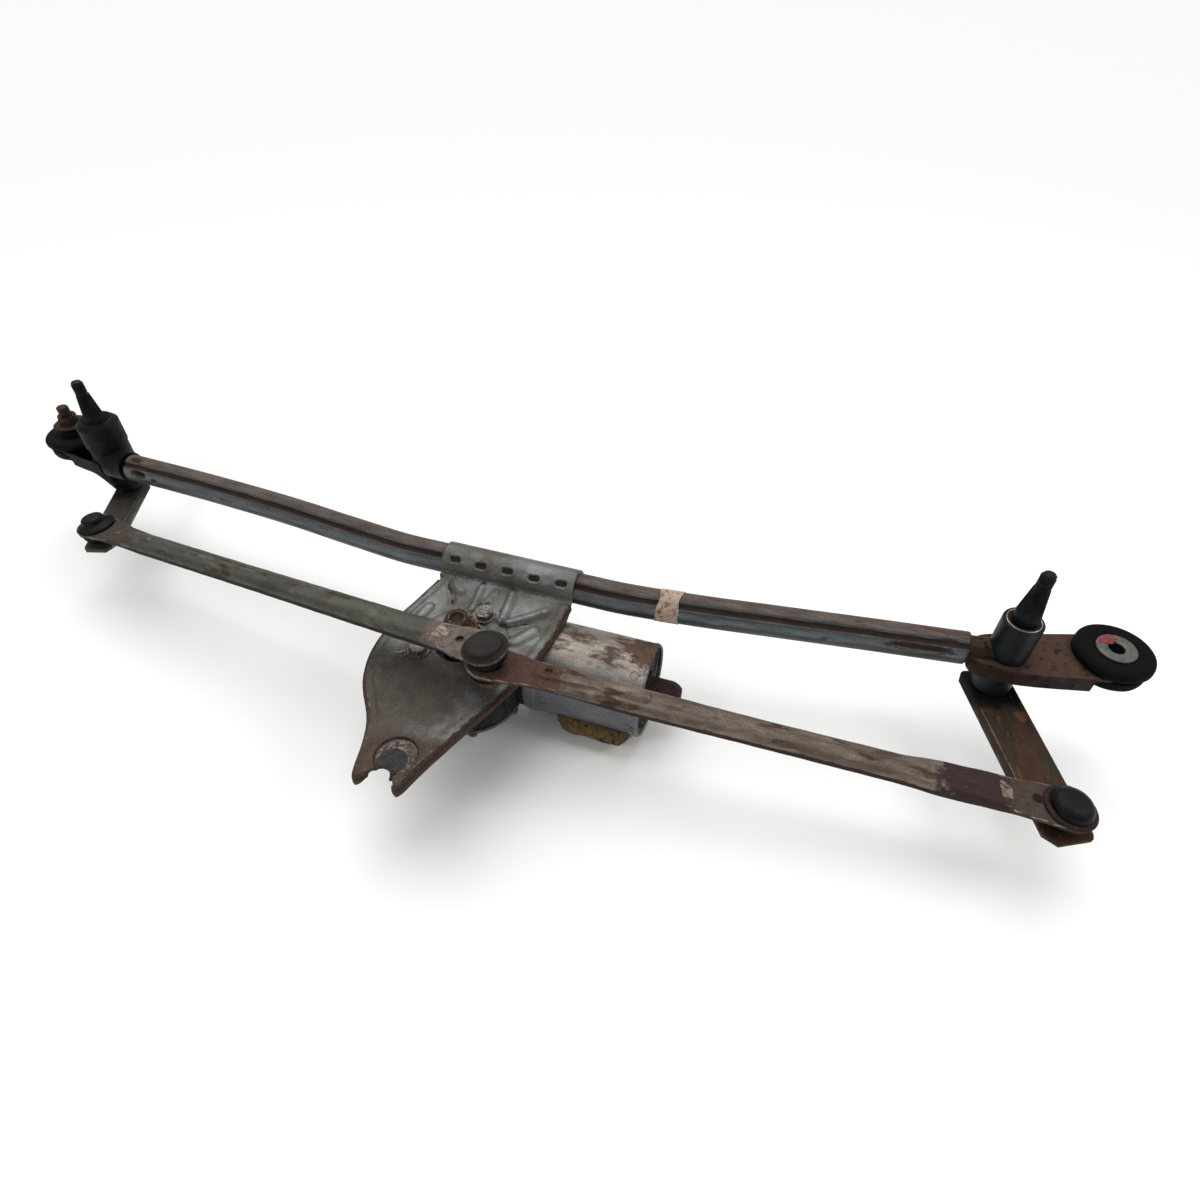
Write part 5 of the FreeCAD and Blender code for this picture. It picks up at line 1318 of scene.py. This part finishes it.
def grown(name, tree, shape, finish, body, inputs, matrix):
    # closes the tree with real meshes and a finish, runs it once and keeps the plain result
    real = addNode(tree, "GeometryNodeRealizeInstances", {0: shape})
    painted = addNode(tree, "GeometryNodeSetMaterial", {0: real.outputs[0], "Material": finish})
    addNode(tree, "NodeGroupOutput", {0: painted.outputs[0]})
    holder = addObject(name, bpy.data.meshes.new(name))
    modifier = holder.modifiers.new("grow", "NODES")
    modifier.node_group = tree
    for item in tree.interface.items_tree:
        if item.in_out == "INPUT" and item.name in inputs:
            modifier[item.identifier] = inputs[item.name]
    bpy.context.view_layer.update()
    seen = holder.evaluated_get(bpy.context.evaluated_depsgraph_get())
    mesh = bpy.data.meshes.new_from_object(seen)
    holder.modifiers.remove(modifier)
    mesh.transform(matrix)
    holder.data = mesh
    mesh.name = name
    dress(mesh, None, 40)
    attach(holder, body)


threadSizes = {"Radius": 3.5, "Pitch": 1.25, "Turns": 6.0, "Crest": 0.5}
spindleShape = dict(radius=6.0, cone=6.9, coneTop=4.3, coneTopZ=50.0, core=3.45, serrations=48,
                    depth=0.32)


def growThread(name, axis, bottom, body):
    tree, given = newTree("arm nut thread", threadSizes)
    height = addNode(tree, "ShaderNodeMath", {0: given.outputs["Pitch"], 1: given.outputs["Turns"]},
                     operation="MULTIPLY")
    helix = addNode(tree, "GeometryNodeCurveSpiral", {
        "Resolution": 40, "Rotations": given.outputs["Turns"],
        "Start Radius": given.outputs["Radius"], "End Radius": given.outputs["Radius"],
        "Height": height.outputs[0]})
    ridge = addNode(tree, "GeometryNodeCurvePrimitiveCircle",
                    {"Resolution": 5, "Radius": given.outputs["Crest"]})
    swept = addNode(tree, "GeometryNodeCurveToMesh", {"Curve": helix.outputs[0],
                                                      "Profile Curve": ridge.outputs[0],
                                                      "Fill Caps": True})
    grown(name, tree, swept.outputs[0], phosphated, body, threadSizes,
          scaledAt(axis.x, axis.y, bottom))


def buildSpindle(node, axis, body):
    # plain shank, serrated cone and a core for the thread to wind round
    s = spindleShape
    low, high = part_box(node)
    bottom, tip = low.z / mm, high.z / mm
    seat = s["coneTopZ"] - (s["cone"] - s["coneTop"]) / 0.135
    profile = [(0, bottom), (s["radius"] - 1.2, bottom), (s["radius"], bottom + 5),
               (s["radius"], seat - 1.2), (s["cone"], seat)]
    profile += [(s["cone"] + (s["coneTop"] - s["cone"]) * t, seat + (s["coneTopZ"] - seat) * t)
                for t in np.linspace(0.06, 1, 8)]
    profile += [(s["core"], s["coneTopZ"] + 0.3), (s["core"], tip - 0.9),
                (s["core"] - 0.5, tip - 0.1), (0, tip)]
    verts, faces = lathe(profile, 288)
    angle = np.arctan2(verts[:, 1], verts[:, 0])
    on = (verts[:, 2] > seat + 1.5) & (verts[:, 2] < s["coneTopZ"] + 0.1)
    cut = s["depth"] * (0.5 + 0.5 * np.cos(angle * s["serrations"])) * on
    far = np.maximum(np.hypot(verts[:, 0], verts[:, 1]), 1)
    verts[:, :2] *= (1 - cut / far)[:, None]
    matrix = standing(axis.x, axis.y, 0)
    makePiece(node + "_look", [matrix @ (Vector(v) * mm) for v in verts], faces, phosphated, body,
              [node], sharp=30,
              attributes=dict(painted_shade_and_grime=unit(cut / s["depth"])))
    growThread(node + "_thread", axis, (s["coneTopZ"] + 1.0) * mm, body)


buildSpindle("left_spindle", leftAxis, "left_drive")
buildSpindle("right_spindle", rightAxis, "right_drive")

crumbSizes = {"Spread": 7.5, "Density": 0.55, "Smallest": 0.25, "Largest": 1.15, "Seed": 11}


def growCrumbs(name, centre, body, **changes):
    # scale and grit lying loose on a flat place
    sizes = dict(crumbSizes, **changes)
    tree, given = newTree("loose rust", sizes)
    disc = addNode(tree, "GeometryNodeMeshCircle", {"Radius": given.outputs["Spread"],
                                                    "Vertices": 24}, fill_type="NGON")
    points = addNode(tree, "GeometryNodeDistributePointsOnFaces", {
        "Mesh": disc.outputs[0], "Density": given.outputs["Density"],
        "Seed": given.outputs["Seed"]})
    bit = addNode(tree, "GeometryNodeMeshIcoSphere", {"Radius": 1.0, "Subdivisions": 1})
    size = addNode(tree, "FunctionNodeRandomValue", {
        2: given.outputs["Smallest"], 3: given.outputs["Largest"], "Seed": given.outputs["Seed"]},
        data_type="FLOAT")
    turn = addNode(tree, "FunctionNodeRandomValue", {
        1: (6.28, 6.28, 6.28), "Seed": given.outputs["Seed"]}, data_type="FLOAT_VECTOR")
    laid = addNode(tree, "GeometryNodeInstanceOnPoints", {
        "Points": points.outputs[0], "Instance": bit.outputs[0], "Rotation": turn.outputs[0],
        "Scale": size.outputs[1]})
    flatter = addNode(tree, "GeometryNodeScaleInstances",
                      {"Instances": laid.outputs[0], "Scale": (1.0, 0.8, 0.5)})
    grown(name, tree, flatter.outputs[0], rustCrumb, body, sizes, scaledAt(*centre))


growCrumbs("crank_rust", (shaftAxis.x, shaftAxis.y, 7.1 * mm), "crank", Spread=9.5, Density=0.35)
growCrumbs("bracket_grit", place(10, -66, -6.9), "frame", Spread=13.0, Density=0.09, Smallest=0.12,
           Largest=0.5, Seed=4)
growCrumbs("fork_grit", place(17, -152, -9.9), "frame", Spread=9.0, Density=0.08, Smallest=0.12,
           Largest=0.45, Seed=7)

canShape = dict(radius=28.5, wall=1.6, left=50.0, right=122.0, band=7.5, bandRise=0.5, rimRoll=0.9,
                groove=0.35, slotDepth=0.9, waver=0.08,
                # slots: where along the can, at what angle, how wide in degrees
                slots=[(118.2, 108, 16), (118.2, 190, 15), (118.2, 300, 15)],
                # scars: where, angle, half length, half width in degrees, depth
                scars=[(84, 172, 5, 12, 0.35), (66, 141, 3, 9, 0.3)])

# round clinch marks where the can's plates are staked, each a low ring on the can's skin
clinchSizes = {"Ring": 2.5, "Wire": 0.32}
clinchSpots = [(114.5, 116), (111, 96), (115, 60), (113, 158), (115.5, 187), (62, 150), (63, 178),
               (112, 20), (70, 236)]


def growClinches():
    r = canShape["radius"]
    tree, given = newTree("clinch rings", clinchSizes)
    ring = addNode(tree, "GeometryNodeCurvePrimitiveCircle",
                   {"Resolution": 22, "Radius": given.outputs["Ring"]})
    wire = addNode(tree, "GeometryNodeCurvePrimitiveCircle",
                   {"Resolution": 6, "Radius": given.outputs["Wire"]})
    torus = addNode(tree, "GeometryNodeCurveToMesh", {"Curve": ring.outputs[0],
                                                      "Profile Curve": wire.outputs[0]})
    joined = addNode(tree, "GeometryNodeJoinGeometry")
    for x, angle in clinchSpots:
        a = math.radians(angle)
        moved = addNode(tree, "GeometryNodeTransform", {
            "Geometry": torus.outputs[0], "Translation": (x, r * math.cos(a), r * math.sin(a)),
            "Rotation": (a - math.pi / 2, 0, 0)})
        tree.links.new(moved.outputs[0], joined.inputs[0])
    grown("can_clinch_marks", tree, joined.outputs[0], canZinc, "frame", clinchSizes,
          scaledAt(middle.x, motorAxis.y, motorAxis.z))


growClinches()

# cooling and stiffening ribs round the gearbox casting
ribSizes = {"Ribs": 14, "Reach": 33.0, "Height": 17.0, "Thick": 1.6}


def growRibs():
    tree, given = newTree("casting ribs", ribSizes)
    circle = addNode(tree, "GeometryNodeMeshCircle", {"Vertices": given.outputs["Ribs"],
                                                      "Radius": given.outputs["Reach"]})
    size = addNode(tree, "ShaderNodeCombineXYZ", {0: 2.2, 1: given.outputs["Thick"],
                                                  2: given.outputs["Height"]})
    rib = addNode(tree, "GeometryNodeMeshCube", {"Size": size.outputs[0]})
    where = addNode(tree, "GeometryNodeInputPosition")
    turn = addNode(tree, "FunctionNodeAlignRotationToVector", {"Vector": where.outputs[0]},
                   axis="X")
    laid = addNode(tree, "GeometryNodeInstanceOnPoints", {
        "Points": circle.outputs[0], "Instance": rib.outputs[0], "Rotation": turn.outputs[0]})
    matrix = (standing(shaftAxis.x, shaftAxis.y, -30.5 * mm)
              @ Matrix.Rotation(math.radians(3), 4, "Z") @ Matrix.Scale(mm, 4))
    grown("gearbox_ribs", tree, laid.outputs[0], castAlloy, "frame", ribSizes, matrix)


growRibs()
print("threads, ribs, clinch marks and grit grown")


# motor can, foam and tape

def buildCan():
    s = canShape
    # rings every 1.5 mm, closer at the band's edge and at both rims
    xs = np.unique(np.round(np.concatenate([
        np.arange(s["left"], s["right"] + 0.01, 1.5),
        [s["left"] + s["band"] + d for d in (-0.5, -0.2, 0, 0.25, 0.6)],
        s["right"] - np.array([0, 0.3, 0.6, 1.0, 1.5, 2.2, 3.0]),
        s["left"] + np.array([0.2, 0.5, 0.9])]), 3))
    angles = np.radians(np.arange(0, 360, 2.0))
    verts, painted_shade_and_grime = [], []
    for x in xs:
        rise = s["bandRise"] * min(1, max(0, (s["left"] + s["band"] - x) / 0.5 + 0.5))
        fromBand = x - s["left"] - s["band"] - 0.8
        groove = s["groove"] * math.exp(-(fromBand / 0.5) ** 2)
        leftEnd = 0.6 * max(0, 1 - (x - s["left"]) / 0.9) ** 2
        rightEnd = 0.7 * max(0, 1 - (s["right"] - x) / 1.2) ** 2
        rim = s["rimRoll"] * 0.5 * math.exp(-((s["right"] - 2.2 - x) / 1.1) ** 2)
        for a in angles:
            deg = math.degrees(a)
            r = s["radius"] + rise - groove - (leftEnd + rightEnd) + rim
            r += s["waver"] * math.sin(3 * a + x * 0.05)
            dark = 0.8 * math.exp(-(fromBand / 0.8) ** 2)
            for sx, sa, wide in s["slots"]:
                away = abs((deg - sa + 180) % 360 - 180)
                if abs(x - sx) < 0.9 and away < wide / 2:
                    r -= s["slotDepth"]
                    dark = 1
            for sx, sa, long, wide, deep in s["scars"]:
                u = ((x - sx) / long) ** 2 + (((deg - sa + 180) % 360 - 180) / wide) ** 2
                r -= deep * max(0, 1 - u)
            verts.append(Vector((middle.x + x * mm, motorAxis.y + r * mm * math.cos(a),
                                 motorAxis.z + r * mm * math.sin(a))))
            painted_shade_and_grime.append(min(1, dark))
    piece = makePiece("motor_can_look", verts, gridFaces(len(xs), len(angles), True), canZinc,
                      "frame", ["motor_can"], sharp=45, attributes=dict(painted_shade_and_grime=painted_shade_and_grime))
    thicken(piece, s["wall"])


buildCan()

foamShape = dict(x=(72.0, 116.0), angle=(204, 258), thick=7.6, step=0.9, turnStep=1.7, lumps=90,
                 gap=0.25, fill=0.8, seed=17)


def buildFoam():
    # a strip of perished foam: lumpy, crumbled away along its edges
    s = foamShape
    dice = random.Random(s["seed"])
    bumps = [(dice.uniform(*s["x"]), dice.uniform(*s["angle"]), dice.uniform(2, 6),
              dice.uniform(-1.6, 1.2))
             for _ in range(s["lumps"])]
    xs = np.arange(*s["x"], s["step"])
    angles = np.arange(*s["angle"], s["turnStep"])
    verts, faces = [], []
    for layer in (0, 1):
        for i, x in enumerate(xs):
            for j, a in enumerate(angles):
                u, v = i / (len(xs) - 1), j / (len(angles) - 1)
                edge = min(u, 1 - u, v * 0.8, (1 - v) * 0.8) * 9
                lift = s["gap"]
                if layer:
                    lumps = sum(h * math.exp(-((x - bx) ** 2 + ((a - ba) * 0.5) ** 2) / (w * w))
                                for bx, ba, w, h in bumps)
                    lift = 0.35 + (s["thick"] + 0.4 * lumps) * min(1, edge) ** 0.6
                ragged = 1.3 * math.sin(a * 0.37 + 1) + 0.8 * math.sin(a * 0.9)
                slide = 1.6 * math.sin(x * 0.33) + 1.0 * math.sin(x * 0.81 + 2)
                slide *= 1 if v > 0.5 else -0.6
                r = (canShape["radius"] + lift) * mm
                turn = math.radians(a + slide * (0.5 + abs(v - 0.5)))
                verts.append(Vector((middle.x + (x + ragged * (u - 0.5)) * mm,
                                     motorAxis.y + r * math.cos(turn),
                                     motorAxis.z + r * math.sin(turn))))
    n, m = len(angles), len(xs)
    size = n * m
    for i in range(m - 1):
        for j in range(n - 1):
            q = (i * n + j, i * n + j + 1, (i + 1) * n + j + 1, (i + 1) * n + j)
            faces.append(tuple(size + k for k in q))
            faces.append(q[::-1])
    # once round the border, to close the sides
    ring = [i * n for i in range(m)] + [(m - 1) * n + j for j in range(1, n)]
    ring += [i * n + n - 1 for i in range(m - 2, -1, -1)] + list(range(n - 2, 0, -1))
    for a, b in zip(ring, ring[1:] + ring[:1]):
        faces.append((a, b, size + b, size + a))
    piece = makePiece("foam_look", verts, faces, foamFinish, "frame", ["foam_pad"], sharp=80)
    outwardFaces(piece)


buildFoam()

tapeShape = dict(x=(116.2, 129.2), sheet=0.12, lift=0.35, wrinkle=0.28, folds=9, seed=6)


def buildTape():
    s = tapeShape
    dice = random.Random(s["seed"])
    folds = [(dice.uniform(0.6, 2.4), dice.uniform(-2.2, 2.2), dice.uniform(0, 6.28),
              dice.uniform(0.3, 1.0))
             for _ in range(s["folds"])]
    xs = np.linspace(*s["x"], 30)
    angles = np.radians(np.arange(-20, 320, 2.5) - 20)
    verts = []
    for i, x in enumerate(xs):
        y0 = bowAt(x)
        for a in angles:
            u = i / (len(xs) - 1)
            ragged = (u - 0.5) * (1.1 * math.sin(a * 2.3) + 0.7 * math.sin(a * 5.1 + 1))
            crease = sum(abs(math.sin(fx * (x - 120) + fa * a * 3 + phase)) * deep
                         for fx, fa, phase, deep in folds) / len(folds)
            r = tubeShape["radius"] + s["sheet"] + s["lift"] * 0.3 + s["wrinkle"] * crease * 2
            seam = abs((math.degrees(a) - tubeShape["seamAngle"] + 180) % 360 - 180)
            r -= 0.7 * max(0, 1 - seam / 13)
            verts.append(place(x + ragged, y0 + r * math.cos(a), r * math.sin(a)))
    piece = makePiece("tape_look", verts, gridFaces(len(xs), len(angles), False), tapeFinish,
                      "frame",
                      ["tape_strip"], sharp=60)
    thicken(piece, s["sheet"])


buildTape()
print("motor can, foam and tape shaped")


# parts that keep their own shape, with broken edges or just their finish

softNodes = dict(left_housing=(oiledForging, 0.7), right_sleeve=(sleeveSteel, 0.4),
                 left_arm=(leftArmSteel, 0.8),
                 right_arm=(rustedArm, 0.9), crank_arm=(crankZinc, 0.6), crank_nut=(crankZinc, 0.4),
                 gear_housing=(castAlloy, 0.8), motor_bolts=(boltZinc, 0.35),
                 motor_end_plate=(rustPlate, 0.5),
                 gear_cover=(washerZinc, 0.4), cover_screws=(washerZinc, 0.25),
                 plug_housing=(plugPlastic, 0.6),
                 fork_pad=(greyRubber, 0.5))
for node, (finish, width) in softNodes.items():
    softEdged(node, finish, width)
plainNodes = dict(
    left_seal_ring=darkRubber,
    spindle_bushes=bronze, left_ball_stud=brightSteel, right_ball_stud=brightSteel,
    crank_pin=brightSteel,
    output_shaft=phosphated, left_eye_sleeve=brightSteel, right_eye_sleeve=phosphated,
    worm_wheel=nylon,
    armature_shaft=brightSteel, armature_core=coreSteel, armature_windings=copper,
    commutator=copper,
    rear_bearing=bronze, motor_magnets=ferrite, brush_plate=plugPlastic, motor_brushes=carbon,
    plug_blades=brightSteel)
for node, finish in plainNodes.items():
    part = frame["nodes"][node]
    part.data.materials.clear()
    part.data.materials.append(finish)
snapLow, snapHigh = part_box("right_snap_ring")
snapOut = (snapHigh.x - snapLow.x) / 2 / mm
snapSpot = standing(rightAxis.x, rightAxis.y, snapHigh.z)
snapRing = [(snapOut - 1.0, -1.0), (snapOut - 0.05, -1.0), (snapOut - 0.1, -0.1),
            (snapOut - 0.5, 0.2), (snapOut - 0.9, 0.0)]
dustRing = [(6.15, -1.2), (snapOut - 1.0, -1.2), (snapOut - 1.1, -0.5), (snapOut - 1.6, -0.25),
            (6.4, -0.6), (6.15, -0.8)]
turnedPiece("right_snap_ring_look", snapRing, snapSpot, brightSteel, "frame", ["right_snap_ring"],
            soften=0.1)
turnedPiece("right_dust_ring", dustRing, snapSpot, flangeCap, "frame", soften=0.1)
print("carried parts finished")


# floor, light and camera

studio = dict(floor="f8f8f6", world="fbfdff", worldStrength=0.42, sun=2.2, sunSoftness=62,
              sunFrom=(-250, 420, 900),
              lamps=[("front", (-350, -700, 620), (-50, -60, 0), 320, 1.6),
                     ("right", (760, 40, 520), (200, -40, 0), 300, 1.6)])

floorZ = cadBox[0].z - 0.5 * mm
bpy.ops.mesh.primitive_plane_add(size=40, location=(middle.x, middle.y, floorZ))
floor = bpy.context.object
floor.name = "floor"
paper = bpy.data.materials.new("paperSweep")
paper.use_nodes = True
paper.node_tree.nodes.clear()
paperShader = addNode(paper.node_tree, "ShaderNodeBsdfPrincipled",
                      {"Base Color": colours(studio["floor"])[0], "Roughness": 0.95})
addNode(paper.node_tree, "ShaderNodeOutputMaterial", {"Surface": paperShader.outputs[0]})
floor.data.materials.append(paper)

world = bpy.data.worlds.new("studio")
world.use_nodes = True
tree = world.node_tree
tree.nodes.clear()
soft = addNode(tree, "ShaderNodeBackground", {0: colours(studio["world"])[0],
                                              1: studio["worldStrength"]})
seen = addNode(tree, "ShaderNodeBackground", {0: colours(studio["world"])[0], 1: 1.0})
path = addNode(tree, "ShaderNodeLightPath")
mixed = addNode(tree, "ShaderNodeMixShader", {0: path.outputs["Is Camera Ray"], 1: soft.outputs[0],
                                              2: seen.outputs[0]})
addNode(tree, "ShaderNodeOutputWorld", {"Surface": mixed.outputs[0]})
bpy.context.scene.world = world
for name, spot, aim, size, power in studio["lamps"]:
    lamp = bpy.data.lights.new(name, "AREA")
    lamp.size = size * mm
    lamp.energy = power
    lamp.color = (1.0, 0.98, 0.95)
    holder = addObject(name, lamp)
    holder.location = place(*spot)
    holder.rotation_euler = (place(*aim) - place(*spot)).to_track_quat("-Z", "Y").to_euler()

sky = bpy.data.lights.new("overhead", "SUN")
sky.energy = studio["sun"]
sky.angle = math.radians(studio["sunSoftness"])
overhead = addObject("overhead", sky)
overhead.rotation_euler = Vector(studio["sunFrom"]).to_track_quat("Z", "Y").to_euler()

view = bpy.context.scene.view_settings
view.view_transform = "Standard"
view.look = "None"

# millimetres for the place, then the camera's own right, up and back directions
cameraView = dict(lens=22.8, sensor=36, spot=(184.93, -340.35, 317.5), right=(0.94824, 0.31756, 0),
                  up=(-0.22162, 0.66174, 0.71623), back=(0.22745, -0.67916, 0.69786))
cameraData = bpy.data.cameras.new("camera")
cameraData.sensor_width = cameraView["sensor"]
cameraData.lens = cameraView["lens"]
cameraData.clip_start = 0.01
camera = addObject("camera", cameraData)
turned = Matrix([cameraView[key] for key in ("right", "up", "back")]).transposed().to_4x4()
camera.matrix_world = Matrix.Translation(place(*cameraView["spot"])) @ turned
bpy.context.scene.camera = camera
print("studio set")
